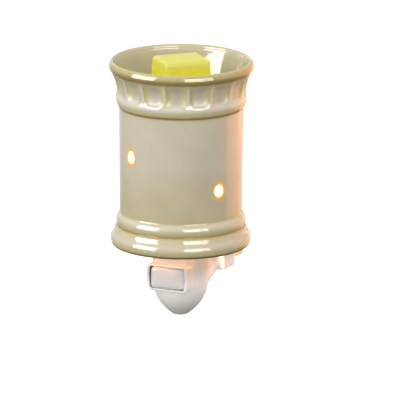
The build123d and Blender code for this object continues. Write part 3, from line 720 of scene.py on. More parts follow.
def run(first: tuple, last: tuple, step: float) -> list[tuple[float, float]]:
    """Points along a straight run, with the first left out.

    Args:
        first: Where the run starts.
        last: Where it ends.
        step: How far apart the points are.

    Returns:
        The points, the last one included.
    """
    count = max(1, round(math.dist(first, last) / step))
    return [tuple(a + (b - a) * i / count for a, b in zip(first, last)) for i in range(1, count + 1)]


def trace(steps: tuple, step: float) -> list[tuple[float, float]]:
    """Points along a line of arcs and straight runs.

    Args:
        steps: The first point, then for each stretch a point on its arc, or None where it is straight, and its end.
        step: How far apart the points are.

    Returns:
        The points, the first one included.
    """
    at, *stretches = steps
    line = [at]
    for middle, end in stretches:
        line += arc(at, middle, end, step) if middle else run(at, end, step)
        at = end
    return line


def keyed(at: np.ndarray, keys: Keys) -> np.ndarray:
    """Reads a table of keys at each height, as one column."""
    return np.interp(at, *zip(*keys))[:, None]


def loft(rows: int, count: int) -> list[tuple[int, ...]]:
    """Joins rings of points, one after another, with four-sided faces.

    Args:
        rows: How many rings there are.
        count: How many points each has.

    Returns:
        The faces.
    """
    return [
        (row * count + i, row * count + (i + 1) % count, (row + 1) * count + (i + 1) % count, (row + 1) * count + i)
        for row in range(rows - 1) for i in range(count)
    ]


def soften(values: np.ndarray, sigma: float, axis: int, wrap: bool) -> np.ndarray:
    """Blurs an array along one axis.

    Args:
        values: The array.
        sigma: The width of the blur, in steps.
        axis: The axis.
        wrap: Whether the axis closes on itself.

    Returns:
        The blurred array.
    """
    reach = max(1, math.ceil(3 * sigma))
    offsets = np.arange(-reach, reach + 1)
    weights = np.exp(-0.5 * (offsets / sigma) ** 2)
    weights /= weights.sum()
    width = [(0, 0)] * values.ndim
    width[axis] = (reach, reach)
    padded = np.pad(values, width, mode="wrap" if wrap else "edge")
    size = values.shape[axis]
    total = np.zeros_like(values, dtype=float)
    for offset, weight in zip(offsets, weights):
        total += weight * np.take(padded, range(offset + reach, offset + reach + size), axis=axis)
    return total


@dataclass
class GlazedShade:
    """The ceramic shade: one casting with the dish, the niches, two rolled beads and four glow holes.

    Radii and heights are millimetres and match the CAD casting. A table of keys gives a value at each height.

    Attributes:
        ridge_angle: One ridge between two niches, in degrees from the front towards +X.
        niche_radius: The collar's radius that the niches' widths are measured at.
        niche_side_run: How far a niche's side takes to reach its depth.
        niche_power: How full the side's curve is.
        fine_step: How far apart the points of a profile are before it is rounded.
        crest_step: How far apart its rings are.
        body_step: How far apart the plain wall's rings are.
        rim_reach: How many columns and rows the ring of faces round a hole reaches from its middle.
        holes: Each hole's angle and height.
        hole_radius: The wall's radius that the holes' bearings are measured at.
        hole_rings: Each ring of a hole: its share of the hole's size, its depth, whether it is on the inside,
        and its masks of painted glow round the hole, of the painted amber rim and of painted glow on its wall.
        wall_span: The heights of the plain wall's top and bottom rows.
        foot_z: Where the plain wall's taper starts.
        taper: How much wider it gets.
        outer: The plain wall's outer radius there, and the height over which it tapers.
        inner: The same for its inside.
        lower_line: The outside from the plain wall down over the bead and flange to the foot.
        upper_line: The dish's inside, the lip, the collar and the upper bead, down to the plain wall.
        foot_line: The foot's underside up into the lamp room.
        floor_z: The height of the dish's floor, floor_rise lower than its middle.
        floor_edge: The floor's radius, with the radii of its rings in floor_radii.
        roof_z: The height of the lamp room's roof, with the arc that leads to it in roof_arc and the radii of
            its rings in roof_radii.
    """

    niche_count: int = 17
    steps_per_niche: int = 24
    ridge_angle: float = 32.7
    niche_radius: float = 36.0
    niche_depths: Keys = (
        (100.0, 0.0), (100.6, 0.55), (101.3, 0.95), (102.6, 1.25), (105.0, 1.7), (107.6, 1.9), (109.5, 1.8),
        (111.5, 1.25), (113.0, 0.5), (114.2, 0.0),
    )
    niche_half_widths: Keys = (
        (99.8, 2.6), (100.6, 4.0), (101.8, 5.2), (103.2, 5.8), (104.6, 6.05), (110.5, 6.05), (112.4, 5.6),
        (114.0, 4.4),
    )
    niche_side_run: float = 3.5
    niche_power: float = 2.4
    fine_step: float = 0.14
    crest_step: float = 0.42
    body_step: float = 1.45
    wall_span: tuple[float, float] = (88.5, 39.0)
    foot_z: float = 34.2
    taper: float = 0.5
    outer: tuple[float, float] = (33.5, 59.5)
    inner: tuple[float, float] = (29.5, 53.8)
    hole_half_width: float = 2.7
    hole_half_height: float = 3.2
    hole_radius: float = 34.0
    rim_reach: tuple[int, int] = (11, 5)
    holes: Keys = ((-28.0, 69.0), (152.0, 69.0), (65.0, 52.0), (245.0, 52.0))
    hole_rings: tuple[tuple, ...] = (
        (1.75, 0.0, False, 0.05, 0.1, 0.0), (1.42, 0.0, False, 0.25, 0.5, 0.0), (1.2, 0.02, False, 0.6, 1.0, 0.0),
        (1.07, 0.14, False, 0.8, 0.8, 0.0), (1.01, 0.5, False, 1.0, 0.2, 0.7), (1.0, 1.3, False, 1.0, 0.0, 1.0),
        (1.0, 1.1, True, 1.0, 0.0, 1.0), (1.03, 0.25, True, 1.0, 0.0, 1.0), (1.2, 0.0, True, 1.0, 0.0, 0.6),
    )
    lower_line: tuple = (
        (33.53, 38.0), (None, (33.5, 34.2)), ((35.4, 30.6), (34.6, 27.2)), ((35.65, 26.6), (36.2, 25.5)),
        ((36.65, 24.0), (37.35, 22.9)), ((38.4, 20.0), (37.9, 17.2)), ((37.5, 16.3), (36.8, 16.0)),
        (None, (34.0, 16.0)),
    )
    upper_line: tuple = (
        (25.7, 98.0), ((29.7, 99.4), (31.3, 102.6)), ((33.75, 109.9), (36.85, 117.2)),
        ((37.3, 118.9), (38.15, 119.45)), ((39.05, 118.3), (39.55, 116.8)), ((39.7, 115.6), (39.2, 114.4)),
        ((36.55, 107.6), (35.5, 101.5)), ((35.85, 97.6), (34.9, 94.4)), ((34.5, 93.7), (34.0, 93.4)),
        (None, (33.97, 90.0)),
    )
    foot_line: Keys = (
        (34.0, 18.0), (34.0, 20.0), (34.0, 21.9), (32.0, 22.0), (29.6, 22.0), (29.5, 23.0), (29.5, 28.0),
        (29.5, 34.0),
    )
    floor_z: float = 98.0
    floor_rise: float = 0.25
    floor_edge: float = 25.7
    floor_radii: tuple[float, ...] = (3.0, 8.0, 13.0, 18.0, 22.5)
    roof_z: float = 94.0
    roof_arc: Keys = ((30.0, 90.0), (28.8, 92.8), (26.0, 94.0))
    roof_radii: tuple[float, ...] = (20.0, 12.0, 4.0)
    pool_keys: Keys = (
        (16.0, 1.0), (17.2, 0.95), (18.2, 0.7), (19.4, 0.3), (21.0, 0.1), (24.6, 0.15), (25.8, 0.35), (26.6, 0.8),
        (27.1, 1.0), (27.7, 0.95), (28.6, 0.6), (29.6, 0.45), (31.0, 0.25), (33.4, 0.08), (34.4, 0.3), (36.5, 0.2),
        (44.0, 0.06), (84.0, 0.0), (90.5, 0.05), (92.4, 0.2), (93.7, 1.0), (94.6, 0.95), (95.8, 0.6), (97.4, 0.45),
        (98.4, 0.2), (99.4, 0.05), (102.0, 0.05), (108.0, 0.08), (111.0, 0.2), (112.4, 0.4), (113.4, 0.95),
        (114.6, 1.0), (115.6, 0.97), (117.0, 0.85), (118.6, 0.82), (119.5, 0.68),
    )
    crest_keys: Keys = (
        (16.0, 0.0), (19.6, 0.1), (21.4, 0.35), (24.0, 0.3), (25.4, 0.4), (26.4, 0.0), (29.8, 0.1), (31.6, 0.4),
        (32.8, 0.55), (34.0, 0.2), (35.0, 0.0), (97.2, 0.0), (98.2, 0.55), (99.2, 0.9), (100.2, 0.7), (101.2, 0.2),
        (102.4, 0.0),
    )
    dish_pool: Keys = ((98.0, 0.5), (106.0, 0.5), (114.0, 0.45), (117.4, 0.3), (119.0, 0.55))
    dish_crest: Keys = ((115.4, 0.0), (117.0, 0.2), (118.4, 0.3), (119.2, 0.0))
    dish_grey_shade: Keys = ((98.0, 0.9), (112.0, 0.9), (116.0, 0.7), (117.4, 0.0))
    niche_fade: Keys = ((99.6, 0.0), (101.2, 0.5), (102.6, 1.0), (110.6, 1.0), (112.6, 0.0))
    niche_matt: Keys = ((100.2, 0.0), (101.4, 1.0), (111.0, 1.0), (113.0, 0.0))
    ridge_feet: Keys = ((99.0, 0.3), (100.4, 0.5), (101.8, 0.68), (103.4, 0.82), (106.0, 0.88))
    foot_bare: Keys = ((16.0, 1.0), (16.7, 0.95), (17.3, 0.0))

    def __post_init__(self) -> None:
        """Works out the turning steps."""
        self.around = self.niche_count * self.steps_per_niche
        self.angles = np.radians(self.ridge_angle) + np.arange(self.around) * math.tau / self.around

    def wall_radius(self, z: float, inside: bool = False) -> float:
        """Gives the plain wall's radius at a height, outside or inside."""
        radius, rise = self.inner if inside else self.outer
        return radius + self.taper * (z - self.foot_z) / rise

    def rounded(self, steps: tuple, sigma: float) -> np.ndarray:
        """Rounds a profile's creases as a glaze does and thins its points out to the crest step.

        Args:
            steps: The profile's arcs and straight runs.
            sigma: The width of the rounding, in points.

        Returns:
            The profile's radii and heights.
        """
        points = np.array(trace(steps, self.fine_step))
        smooth = soften(points, sigma, 0, False)
        smooth[0], smooth[-1] = points[0], points[-1]
        run_length = np.concatenate([[0.0], np.cumsum(np.linalg.norm(np.diff(smooth, axis=0), axis=1))])
        count = round(run_length[-1] / self.crest_step)
        wanted = np.linspace(0.0, run_length[-1], count + 1)
        return np.stack([np.interp(wanted, run_length, smooth[:, k]) for k in (0, 1)], axis=1)

    def niche_cut(self, heights: np.ndarray) -> np.ndarray:
        """Works out how deep the niches go into the collar.

        Args:
            heights: The height of each row.

        Returns:
            The depth at each row and angle.
        """
        across = self.across_niche() * math.pi * self.niche_radius / self.niche_count
        deepest, width = keyed(heights, self.niche_depths), keyed(heights, self.niche_half_widths)
        inside = np.clip((width - across[None, :]) / self.niche_side_run, 0.0, 1.0)
        depth = deepest * (1.0 - (1.0 - inside) ** self.niche_power)
        return soften(soften(depth, 1.1, 0, False), 0.9, 1, True)

    def across_niche(self) -> np.ndarray:
        """Gives how far each angle is from its niche's middle, up to 1 on the ridges."""
        pitch = math.tau / self.niche_count
        return np.abs((self.angles - math.radians(self.ridge_angle)) % pitch / pitch - 0.5) * 2.0

    def collar_masks(self, heights: np.ndarray) -> tuple[np.ndarray, np.ndarray, np.ndarray]:
        """Shades the collar: glaze gathers at the niches' sides and breaks pale over the ridges.

        Args:
            heights: The height of each row.

        Returns:
            How much glaze gathers, how pale it breaks and how much grey painted shade it takes, at each row and
            angle.
        """
        across = self.across_niche()[None, :]
        fade = keyed(heights, self.niche_fade)
        gathered = np.interp(across, (0.15, 0.55, 0.84, 0.94), (0.1, 0.75, 1.0, 0.0)) * fade
        foot = keyed(heights, self.ridge_feet)
        ridge = np.minimum(np.clip((across - foot) / (1.0 - foot), 0.0, 1.0) * 2.2, 1.0) * fade
        return gathered, ridge, np.interp(across, (0.15, 0.6), (1.0, 0.0)) * fade

    def turn(self, radii: np.ndarray, heights: np.ndarray) -> np.ndarray:
        """Turns rows of radii round the lamp axis.

        Args:
            radii: The radius at each row and angle.
            heights: The height of each row.

        Returns:
            The points, by row and angle.
        """
        points = np.empty(radii.shape + (3,))
        points[..., 0] = radii * np.sin(self.angles)
        points[..., 1] = LAMP_AXIS_Y - radii * np.cos(self.angles)
        points[..., 2] = heights[:, None]
        return points

    def rows(self) -> tuple[np.ndarray, np.ndarray, dict[str, np.ndarray], list[float]]:
        """Lays out every ring of the casting from the dish's middle to the lamp room's roof.

        Returns:
            The radii by row and angle, the heights, the masks, and the heights of the plain wall's rows.
        """
        upper, lower = self.rounded(self.upper_line, 2.0), self.rounded(self.lower_line, 2.4)
        wall_z = list(np.arange(*self.wall_span, -self.body_step))
        wall = [(self.wall_radius(z), z) for z in wall_z]
        room = [(self.wall_radius(z, True), z) for z in wall_z[::-1]]
        floor = [(r, self.floor_z + self.floor_rise * (1 - r / self.floor_edge) ** 2) for r in self.floor_radii]
        roof = arc(*self.roof_arc, 1.2) + [(r, self.roof_z) for r in self.roof_radii]
        parts = [floor, upper, wall, lower, self.foot_line, room, roof]
        profile = np.concatenate(parts)
        starts = np.cumsum([0] + [len(p) for p in parts])
        radii = np.repeat(profile[:, :1], self.around, axis=1)
        heights = profile[:, 1]
        lip = starts[1] + int(np.argmax(upper[:, 1]))
        collar, outer, inner = slice(lip, starts[2]), slice(lip, starts[4]), slice(0, lip)
        radii[collar] -= self.niche_cut(heights[collar])
        # The last three masks paint the glow round the holes, their amber rims and the glow on their walls.
        names = ("pool", "crest", "grey_hollow_shade", "matt", "bare", "painted_halo", "rim", "hot")
        masks = {name: np.zeros_like(radii) for name in names}
        pool, crest, grey_hollow_shade, matt, bare = (masks[name] for name in names[:5])
        pool[outer], crest[outer] = keyed(heights[outer], self.pool_keys), keyed(heights[outer], self.crest_keys)
        pool[inner], crest[inner] = keyed(heights[inner], self.dish_pool), keyed(heights[inner], self.dish_crest)
        # Painted shade: a greyer, darker tone on the dish's walls.
        grey_hollow_shade[inner] = keyed(heights[inner], self.dish_grey_shade)
        gathered, ridge, niche_grey_shade = self.collar_masks(heights[collar])
        pool[collar] = np.maximum(pool[collar], gathered * 0.88)
        crest[collar] = np.maximum(crest[collar], ridge * 0.65)
        # Painted shade: a greyer, darker tone in the niches' middles.
        grey_hollow_shade[collar] = niche_grey_shade * 0.9
        off_ridge = np.interp(self.across_niche(), (0.8, 0.92), (1.0, 0.35))
        matt[collar] = keyed(heights[collar], self.niche_matt) * off_ridge
        bare[starts[3]:starts[5]] = keyed(heights[starts[3]:starts[5]], self.foot_bare)
        bare[starts[4]:starts[4] + 5] = 1.0
        self.wall_start, self.room_start = int(starts[2]), int(starts[5])
        return radii, heights, masks, wall_z

    def build(self) -> bpy.types.Object:
        """Makes the shade and sets it on its body.

        Returns:
            The shade.
        """
        radii, heights, masks, wall_z = self.rows()
        grid = self.turn(radii, heights)
        count = len(heights)
        keep = np.ones((count - 1, self.around), bool)
        added: list[tuple[list[float], dict[str, float]]] = [
            ([0.0, LAMP_AXIS_Y, z], {"pool": 0.2}) for z in (self.floor_z + self.floor_rise, self.roof_z)
        ]
        faces: list = []
        for heading, height in self.holes:
            self.pierce(heading, height, wall_z, keep, faces, count * self.around, added)
        ring = np.arange(self.around)
        following = (ring + 1) % self.around
        for row in range(count - 1):
            for i, j in zip(ring[keep[row]], following[keep[row]]):
                low = row * self.around
                faces.append((low + i, low + j, low + self.around + j, low + self.around + i))
        middle, roof = count * self.around, count * self.around + 1
        last = (count - 1) * self.around
        faces += [(middle, j, i) for i, j in zip(ring, following)]
        faces += [(roof, last + i, last + j) for i, j in zip(ring, following)]
        values = {
            name: np.concatenate([mask.reshape(-1), [marks.get(name, 0.0) for _, marks in added]])
            for name, mask in masks.items()
        }
        return add_piece(
            "shade", np.concatenate([grid.reshape(-1, 3), [spot for spot, _ in added]]),
            [tuple(int(k) for k in face) for face in faces], "shade", Slot.STONEWARE,
            ("shade_body", "shade_dish"), values,
        )

    def pierce(self, heading: float, height: float, wall_z: list[float], keep: np.ndarray, faces: list, base: int,
               added: list) -> None:
        """Opens one glow hole through the wall, with soft glazed edges.

        Args:
            heading: Where the hole is, in degrees from the front towards +X.
            height: The height of its middle.
            wall_z: The heights of the plain wall's rows.
            keep: Which faces of the grid stay.
            faces: The faces outside the grid, added to.
            base: The number of the first point outside the grid.
            added: The points outside the grid with their masks, added to.
        """
        centre = math.radians(heading)
        step = math.tau / self.around
        wide, tall = self.rim_reach
        first = round(((centre - self.angles[0]) % math.tau) / step) - wide
        columns = [(first + k) % self.around for k in range(2 * wide + 1)]
        near = int(np.argmin(np.abs(np.array(wall_z) - height)))
        rows = list(range(near - tall, near + tall + 1))
        loop = [(rows[0], c) for c in columns] + [(r, columns[-1]) for r in rows[1:]]
        loop += [(rows[-1], c) for c in columns[-2::-1]] + [(r, columns[0]) for r in rows[-2:0:-1]]
        for r in rows[:-1]:
            for row in (self.wall_start + r, self.room_start + len(wall_z) - 2 - r):
                keep[row, columns[:-1]] = False

        def solid(across: float, up: float, inner: bool, depth: float) -> list[float]:
            """Places a point on a wall, or some way into it along the hole."""
            z = height + up
            radius = self.wall_radius(z, inner)
            reach = math.sqrt(radius * radius - across * across) + (depth if inner else -depth)
            return [
                reach * math.sin(centre) + across * math.cos(centre),
                LAMP_AXIS_Y - reach * math.cos(centre) + across * math.sin(centre),
                z,
            ]

        bearings = [
            math.atan2((wall_z[r] - height) / self.hole_half_height,
                       self.hole_radius * math.sin(self.angles[c] - centre) / self.hole_half_width)
            for r, c in loop
        ]
        size = len(loop)
        numbers = [[(self.wall_start + r) * self.around + c for r, c in loop]]
        for scale, depth, inner, painted_halo, rim, hot in self.hole_rings:
            # This ring's painted glow round the hole, painted amber rim and painted glow on the hole's wall.
            marks = {"painted_halo": painted_halo, "rim": rim, "hot": hot, "pool": 0.1, "crest": 0.3 * (scale < 1.1)}
            start = base + len(added)
            numbers.append(list(range(start, start + size)))
            for bearing in bearings:
                across = scale * self.hole_half_width * math.cos(bearing)
                up = scale * self.hole_half_height * math.sin(bearing)
                added.append((solid(across, up, inner, depth), marks))
        numbers.append([(self.room_start + len(wall_z) - 1 - r) * self.around + c for r, c in loop])
        for low, high in zip(numbers, numbers[1:]):
            for k in range(size):
                n = (k + 1) % size
                faces.append((low[k], low[n], high[n], high[k]))


@dataclass
class WaxMelt:
    """The cast block of scented wax that leans out of the dish.

    Attributes:
        length: Its length at the top.
        width: Its width at the top.
        low_z: The height of its foot.
        top_z: The height of its top.
        draft: How its sides flare, in degrees.
        edge: The radius of its edges.
        turned: How far it is turned, in degrees.
        sag: How far the middle of its top has sunk.
        shrink: How far its skin has drawn in, and how much that wanders.
        mesh_step: The longest edge of its mesh.
    """

    length: float = 26.4
    width: float = 22.0
    low_z: float = 98.05
    top_z: float = 120.6
    draft: float = 3.0
    edge: float = 2.0
    turned: float = 47.0
    sag: float = 0.35
    shrink: float = 0.08
    mesh_step: float = 1.3

    def build(self) -> bpy.types.Object:
        """Makes the block with soft edges, a slight sag in its top and an uneven skin.

        Returns:
            The block.
        """
        flare = (self.top_z - self.low_z) * math.tan(math.radians(self.draft))
        build = bmesh.new()
        bmesh.ops.create_cube(build, size=1.0)
        for vertex in build.verts:
            spread = 2 * flare if vertex.co.z < 0 else 0.0
            vertex.co.x *= self.length + spread
            vertex.co.y *= self.width + spread
            vertex.co.z = self.low_z if vertex.co.z < 0 else self.top_z
        bmesh.ops.bevel(build, geom=build.edges[:], offset=self.edge, segments=5, profile=0.5, affect="EDGES")
        for _ in range(4):
            long_edges = [edge for edge in build.edges if edge.calc_length() > self.mesh_step]
            if long_edges:
                bmesh.ops.subdivide_edges(build, edges=long_edges, cuts=1, use_grid_fill=True)
        bmesh.ops.triangulate(build, faces=[f for f in build.faces if len(f.verts) > 4])
        middle = Vector((0.0, 0.0, (self.low_z + self.top_z) / 2))
        for vertex in build.verts:
            lean = vertex.co - middle
            share = max(0.0, 1 - abs(lean.x) / (self.length / 2)) * max(0.0, 1 - abs(lean.y) / (self.width / 2))
            if vertex.co.z > self.top_z - 0.4:
                vertex.co.z -= self.sag * min(1.0, share * 3.0)
            wave = math.sin(lean.x * 0.42 + 1.3) * math.sin(lean.y * 0.37 + 0.4) * math.sin(lean.z * 0.3)
            vertex.co -= lean.normalized() * (self.shrink + self.shrink * wave)
        build.transform(Matrix.Rotation(math.radians(self.turned), 4, "Z"))
        points = np.array([list(vertex.co) for vertex in build.verts])
        points[:, 1] += LAMP_AXIS_Y
        faces = [[vertex.index for vertex in face.verts] for face in build.faces]
        build.free()
        return add_piece("wax_block", points, faces, "wax_melt", Slot.WAX, ("wax_melt",))


@dataclass
class Lamp:
    """The small screw lamp and its holder."""

    def build(self) -> None:
        """Dresses the lamp and lets its light through the glass."""
        dress_nodes({
            "bulb_tip": Slot.SOLDER, "bulb_insulator": Slot.BLACK_GLASS, "bulb_base": Slot.NICKEL_BRASS,
            "bulb_glass": Slot.BULB_GLASS, "bulb_stem": Slot.STEM_GLASS, "bulb_filament": Slot.FILAMENT,
            "lamp_holder": Slot.HOLDER_PLASTIC, "socket_shell": Slot.BRASS, "socket_contact": Slot.BRASS,
        })
        for node in ("bulb_glass", "bulb_stem"):
            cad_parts[node].visible_shadow = False


@dataclass
class MouldedBase:
    """The white base with its cup, cover ring, lamp plate and the parts inside the neck.

    Attributes:
        neck_keys: The neck's skin: depth along Y, the moulded cone's radius, and how far its axis drops.
        skin: How far the skin stands off the cone at its top.
        end_y: Where the skin stops, short of the plug.
        end_radius: The cone's radius there.
        around: How many points each of the skin's rings has.
    """

    neck_keys: tuple[tuple[float, float, float], ...] = (
        (-44.0, 11.6, 2.0), (-38.0, 11.2, 1.95), (-34.0, 10.6, 1.85), (-28.0, 9.35, 1.7), (-22.0, 8.1, 1.5),
    )
    skin: float = 0.08
    end_y: float = -13.45
    end_radius: float = 6.5
    around: int = 72

    def neck(self) -> bpy.types.Object:
        """Skins the neck with the fuller underside that runs down into the cup."""
        keys = [
            *self.neck_keys, (self.end_y - 0.9, self.end_radius + 0.2, 1.3),
            (self.end_y - 0.25, self.end_radius, 1.15), (self.end_y, self.end_radius - 0.7, 1.0),
        ]
        count = self.around
        angles = np.arange(count) * math.tau / count
        rings = []
        for depth, radius, drop in keys:
            full = radius + drop + self.skin
            height = full * np.cos(angles) - drop
            rings.append(np.stack([full * np.sin(angles), np.full(count, depth), height], axis=1))
        faces = loft(len(keys), count)
        return add_piece("neck_skin", np.concatenate(rings), faces, "base", Slot.WHITE_PLASTIC)

    def build(self) -> None:
        """Dresses the base."""
        self.neck()
        dress_nodes({
            "base_cup": Slot.WHITE_PLASTIC, "cover_ring": Slot.WHITE_PLASTIC, "lamp_plate": Slot.PLATED_STEEL,
            "plate_screws": Slot.SCREW_STEEL, "brush_carrier": Slot.BLACK_PLASTIC, "line_brush": Slot.SPRING_STEEL,
            "neutral_brush": Slot.SPRING_STEEL, "line_wire": Slot.BLACK_INSULATION,
            "switch_wire": Slot.BLACK_INSULATION, "neutral_wire": Slot.WHITE_INSULATION,
        })


@dataclass
class RockerSwitch:
    """The rocker switch: rocker, see-saw contact, terminals and case.

    Attributes:
        pivot_y: The pivot's place along Y.
        pivot_z: The height of the rocker's middle.
        tilt: How far the rocker leans at rest, in degrees, with its left end out.
        half_width: Half the rocker's width.
        half_height: Half its height.
        squareness: The exponent of its outline.
        face: How far its rim's top stands before the pivot.
        rounding: The radius of its edges.
        crown: How far its middle swells.
        side: How far its side walls reach back.
        around: How many points each of its rings has.
        face_insets: How far in from the outline the rings of its face lie.
    """

    pivot_y: float = -58.0
    pivot_z: float = -0.4
    tilt: float = 10.0
    half_width: float = 10.16
    half_height: float = 6.2
    squareness: float = 8.0
    face: float = 5.0
    rounding: float = 1.9
    crown: float = 0.7
    side: float = 2.9
    around: int = 112
    face_insets: tuple[float, ...] = (2.4, 3.1, 3.9, 4.8, 5.6)

    def pillow(self) -> bpy.types.Object:
        """Moulds the rocker's crowned face with its soft edges."""
        count = self.around
        angles = (np.arange(count) + 0.5) * math.tau / count
        power = 2.0 / self.squareness
        across = self.half_width * np.sign(np.cos(angles)) * np.abs(np.cos(angles)) ** power
        up = self.half_height * np.sign(np.sin(angles)) * np.abs(np.sin(angles)) ** power
        insets = [self.rounding * (1 - math.cos(math.radians(a))) for a in range(0, 91, 10)]
        shares = [1.0] + [1 - inset / self.half_height for inset in (*insets, *self.face_insets)]
        lean = math.radians(self.tilt)
        rings = []
        for number, share in enumerate(shares):
            inset = min(self.rounding, (1 - share) * self.half_height)
            rise = math.sqrt(self.rounding ** 2 - (self.rounding - inset) ** 2)
            rise += self.crown * (1 - share ** 2)
            ahead = self.face - self.rounding + rise if number else self.face - self.side
            rings.append(np.stack([
                share * across * math.cos(lean) + ahead * math.sin(lean),
                self.pivot_y + share * across * math.sin(lean) - ahead * math.cos(lean),
                self.pivot_z + share * up,
            ], axis=1))
        middle = self.face + self.crown
        tip = [[middle * math.sin(lean), self.pivot_y - middle * math.cos(lean), self.pivot_z]]
        faces = loft(len(shares), count)
        last = (len(shares) - 1) * count
        faces += [(last + i, last + (i + 1) % count, last + count) for i in range(count)]
        return add_piece("rocker_face", np.concatenate([*rings, tip]), faces, "rocker", Slot.ROCKER_PLASTIC)

    def build(self) -> None:
        """Dresses the switch."""
        self.pillow()
        dress_nodes({
            "rocker": Slot.ROCKER_PLASTIC, "rocker_plunger": Slot.BLACK_PLASTIC, "rocker_spring": Slot.SPRING_STEEL,
            "contact_arm": Slot.BRASS, "common_terminal": Slot.BRASS, "switched_terminal": Slot.BRASS,
            "switch_case": Slot.BLACK_PLASTIC,
        })


@dataclass
class SwivelPlug:
    """The plug head with its blades and swivel parts."""

    def build(self) -> None:
        """Dresses the plug."""
        dress_nodes({
            "plug_head": Slot.WHITE_PLASTIC, "line_blade": Slot.BLADE_METAL, "neutral_blade": Slot.BLADE_METAL,
            "slip_ring": Slot.BRASS, "swivel_clip": Slot.SPRING_STEEL,
        })


def aim(thing: bpy.types.Object, way: Vector) -> None:
    """Points a camera or a light along a way."""
    thing.rotation_mode = "QUATERNION"
    thing.rotation_quaternion = way.to_track_quat("-Z", "Y")


def hang(name: str, kind: str, power: float, colour: tuple[float, float, float], spot: Vector) -> bpy.types.Object:
    """Hangs a light that the camera doesn't see.

    Args:
        name: Its name.
        kind: Its kind.
        power: Its power in watts.
        colour: Its colour.
        spot: Where it hangs.

    Returns:
        The light.
    """
    data = bpy.data.lights.new(name, kind)
    data.energy, data.color = power, colour
    light = placed(name, data)
    light.location = spot
    light.visible_camera = False
    return light


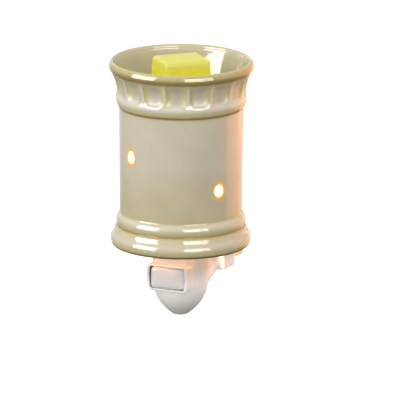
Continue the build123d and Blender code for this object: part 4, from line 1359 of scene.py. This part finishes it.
@dataclass
class Studio:
    """Camera, soft lights and a plain pale floor.

    Headings are degrees from straight in front of the wall towards +X, heights of view are degrees above
    level, and lengths are metres.

    Attributes:
        target: What the camera looks at.
        heading: Where it stands.
        elevation: Its height of view.
        roll: How far it is rolled, in degrees.
        distance: How far it is from the target.
        pixels_per_metre: The picture's scale at the target.
        floor_z: The floor's height.
        floor_reach: Half the floor's width.
        low_light: How strong the world's light is from below.
        high_light: How strong it is from above.
        strobe: The softboxes' colour.
    """

    target: tuple[float, float, float] = (0.008722, -0.039788, 0.039861)
    heading: float = 26.249
    elevation: float = 14.109
    roll: float = 0.267
    distance: float = 6.577
    pixels_per_metre: float = 1823.8
    floor_z: float = -0.45
    floor_reach: float = 14.0
    low_light: float = 0.39
    high_light: float = 0.9
    strobe: tuple[float, float, float] = (1.0, 0.99, 0.97)

    def build(self) -> None:
        """Sets up the studio."""
        self.camera()
        self.floor()
        self.world()
        for name, way, size, power, colour, shines in (
            ("left_softbox", (-36.5, 17.0), (0.72, 0.62), 18.0, self.strobe, True),
            ("right_softbox", (47.5, 17.0), (0.55, 0.55), 9.5, self.strobe, True),
            ("right_strip", (70.5, 17.0), (0.18, 0.5), 2.2, self.strobe, True),
            ("back_softbox", (-135.0, 5.0), (0.6, 0.9), 0.6, self.strobe, True),
            ("key", (-18.0, 20.0), (0.9, 0.9), 4.2, (1.0, 0.985, 0.96), False),
            ("fill", (66.0, 22.0), (0.9, 0.9), 1.7, (1.0, 0.95, 0.89), False),
            ("wall_shine", (155.0, -11.0), (1.3, 0.5), 3.4, (1.0, 0.4, 0.14), True),
            ("wall_bounce", (155.0, 4.0), (1.3, 0.9), 0.85, (1.0, 0.8, 0.62), False),
        ):
            self.softbox(name, way, size, power, colour, shines)
        self.lamp_light()

    def direction(self, heading: float, elevation: float) -> Vector:
        """Gives the direction from the object towards a place in the studio."""
        a, e = math.radians(heading), math.radians(elevation)
        return Vector((math.sin(a) * math.cos(e), -math.cos(a) * math.cos(e), math.sin(e)))

    def camera(self) -> None:
        """Sets the long-lens camera at the photograph's angle."""
        data = bpy.data.cameras.new("camera")
        data.sensor_width = 36.0
        data.lens = self.pixels_per_metre * self.distance / 400.0 * data.sensor_width
        data.clip_start, data.clip_end = 0.1, 60.0
        camera = placed("camera", data)
        back = self.direction(self.heading, self.elevation)
        camera.location = Vector(self.target) + back * self.distance
        aim(camera, -back)
        roll = Quaternion((0.0, 0.0, 1.0), math.radians(self.roll))
        camera.rotation_quaternion = camera.rotation_quaternion @ roll
        bpy.context.scene.camera = camera

    def floor(self) -> None:
        """Lays a wide pale floor well below the warmer, which hangs on a wall outlet."""
        mesh = bpy.data.meshes.new("floor")
        reach, z = self.floor_reach, self.floor_z
        corners = [(-reach, -reach, z), (reach, -reach, z), (reach, reach, z), (-reach, reach, z)]
        mesh.from_pydata(corners, [], [(0, 1, 2, 3)])
        floor = placed("floor", mesh)
        material = bpy.data.materials.new("floor_paper")
        material.use_nodes = True
        material.node_tree.nodes.clear()
        bench = Bench(material.node_tree)
        paper = bench.blend(bench.noise(3.0, 2.0), tint(252, 252, 252), tint(255, 255, 255))
        shader = bench.add("ShaderNodeBsdfPrincipled", {
            "Base Color": paper, "Roughness": 0.9, "Emission Color": (1.0, 1.0, 1.0, 1.0), "Emission Strength": 0.55,
        })
        bench.add("ShaderNodeOutputMaterial", {"Surface": shader.outputs[0]})
        mesh.materials.append(material)
        floor.visible_diffuse = False
        floor.visible_glossy = False

    def world(self) -> None:
        """Surrounds the studio with soft white."""
        world = bpy.data.worlds.new("studio")
        world.use_nodes = True
        bench = Bench(world.node_tree)
        way = bench.split(bench.add("ShaderNodeTexCoord").outputs["Generated"])
        sky = bench.spread(way[2], -0.25, 0.45, self.low_light, self.high_light)
        side = bench.spread(way[0], -0.9, 0.9, 1.12, 0.86)
        under = bench.spread(way[2], -0.8, -0.4, 0.45, 1.0)
        bench.fill(world.node_tree.nodes["Background"], {
            "Color": (1.0, 0.99, 0.975, 1.0), "Strength": bench.times(sky, side, under),
        })
        bpy.context.scene.world = world
        bpy.context.scene.view_settings.view_transform = "Standard"

    def softbox(self, name: str, way: tuple[float, float], size: tuple[float, float], power: float,
                colour: tuple[float, float, float], shines: bool) -> None:
        """Hangs one soft light a metre from the warmer.

        Args:
            name: The light's name.
            way: Its heading and how high it hangs, in degrees.
            size: Its width and height in metres.
            power: Its power in watts.
            colour: Its colour.
            shines: Whether it only makes highlights, or else none.
        """
        back = self.direction(*way)
        box = hang(name, "AREA", power, colour, Vector(self.target) + back)
        box.data.shape = "RECTANGLE"
        box.data.size, box.data.size_y = size
        aim(box, -back)
        box.visible_diffuse, box.visible_glossy = not shines, shines

    def lamp_light(self) -> None:
        """Lights the lamp, the wall beside it and the light that comes down through the lamp plate's vents."""
        axis = LAMP_AXIS_Y * MM
        glow = hang("lamp_glow", "POINT", 0.7, (1.0, 0.6, 0.3), Vector((0.0, axis, 0.056)))
        glow.data.shadow_soft_size = 0.004
        glow.visible_camera = True
        wall = hang("wall_glow", "AREA", 0.034, (1.0, 0.36, 0.1), Vector((0.075, 0.004, 0.1)))
        wall.data.shape = "RECTANGLE"
        wall.data.size, wall.data.size_y = 0.05, 0.07
        aim(wall, Vector((0.03, -0.046, 0.095)) - wall.location)
        wall.visible_glossy = False
        vents = hang("vent_glow", "AREA", 0.006, (1.0, 0.27, 0.06), Vector((0.0, axis, 0.0202)))
        vents.data.shape = "DISK"
        vents.data.size = 0.058


def main() -> None:
    """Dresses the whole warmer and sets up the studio."""
    logging.basicConfig(level=logging.INFO, format="%(name)s: %(message)s")
    GlazedShade().build()
    WaxMelt().build()
    MouldedBase().build()
    RockerSwitch().build()
    Lamp().build()
    SwivelPlug().build()
    Studio().build()
    bpy.context.view_layer.update()
    LOG.info("boxes written")


if __name__ == "__main__":
    main()
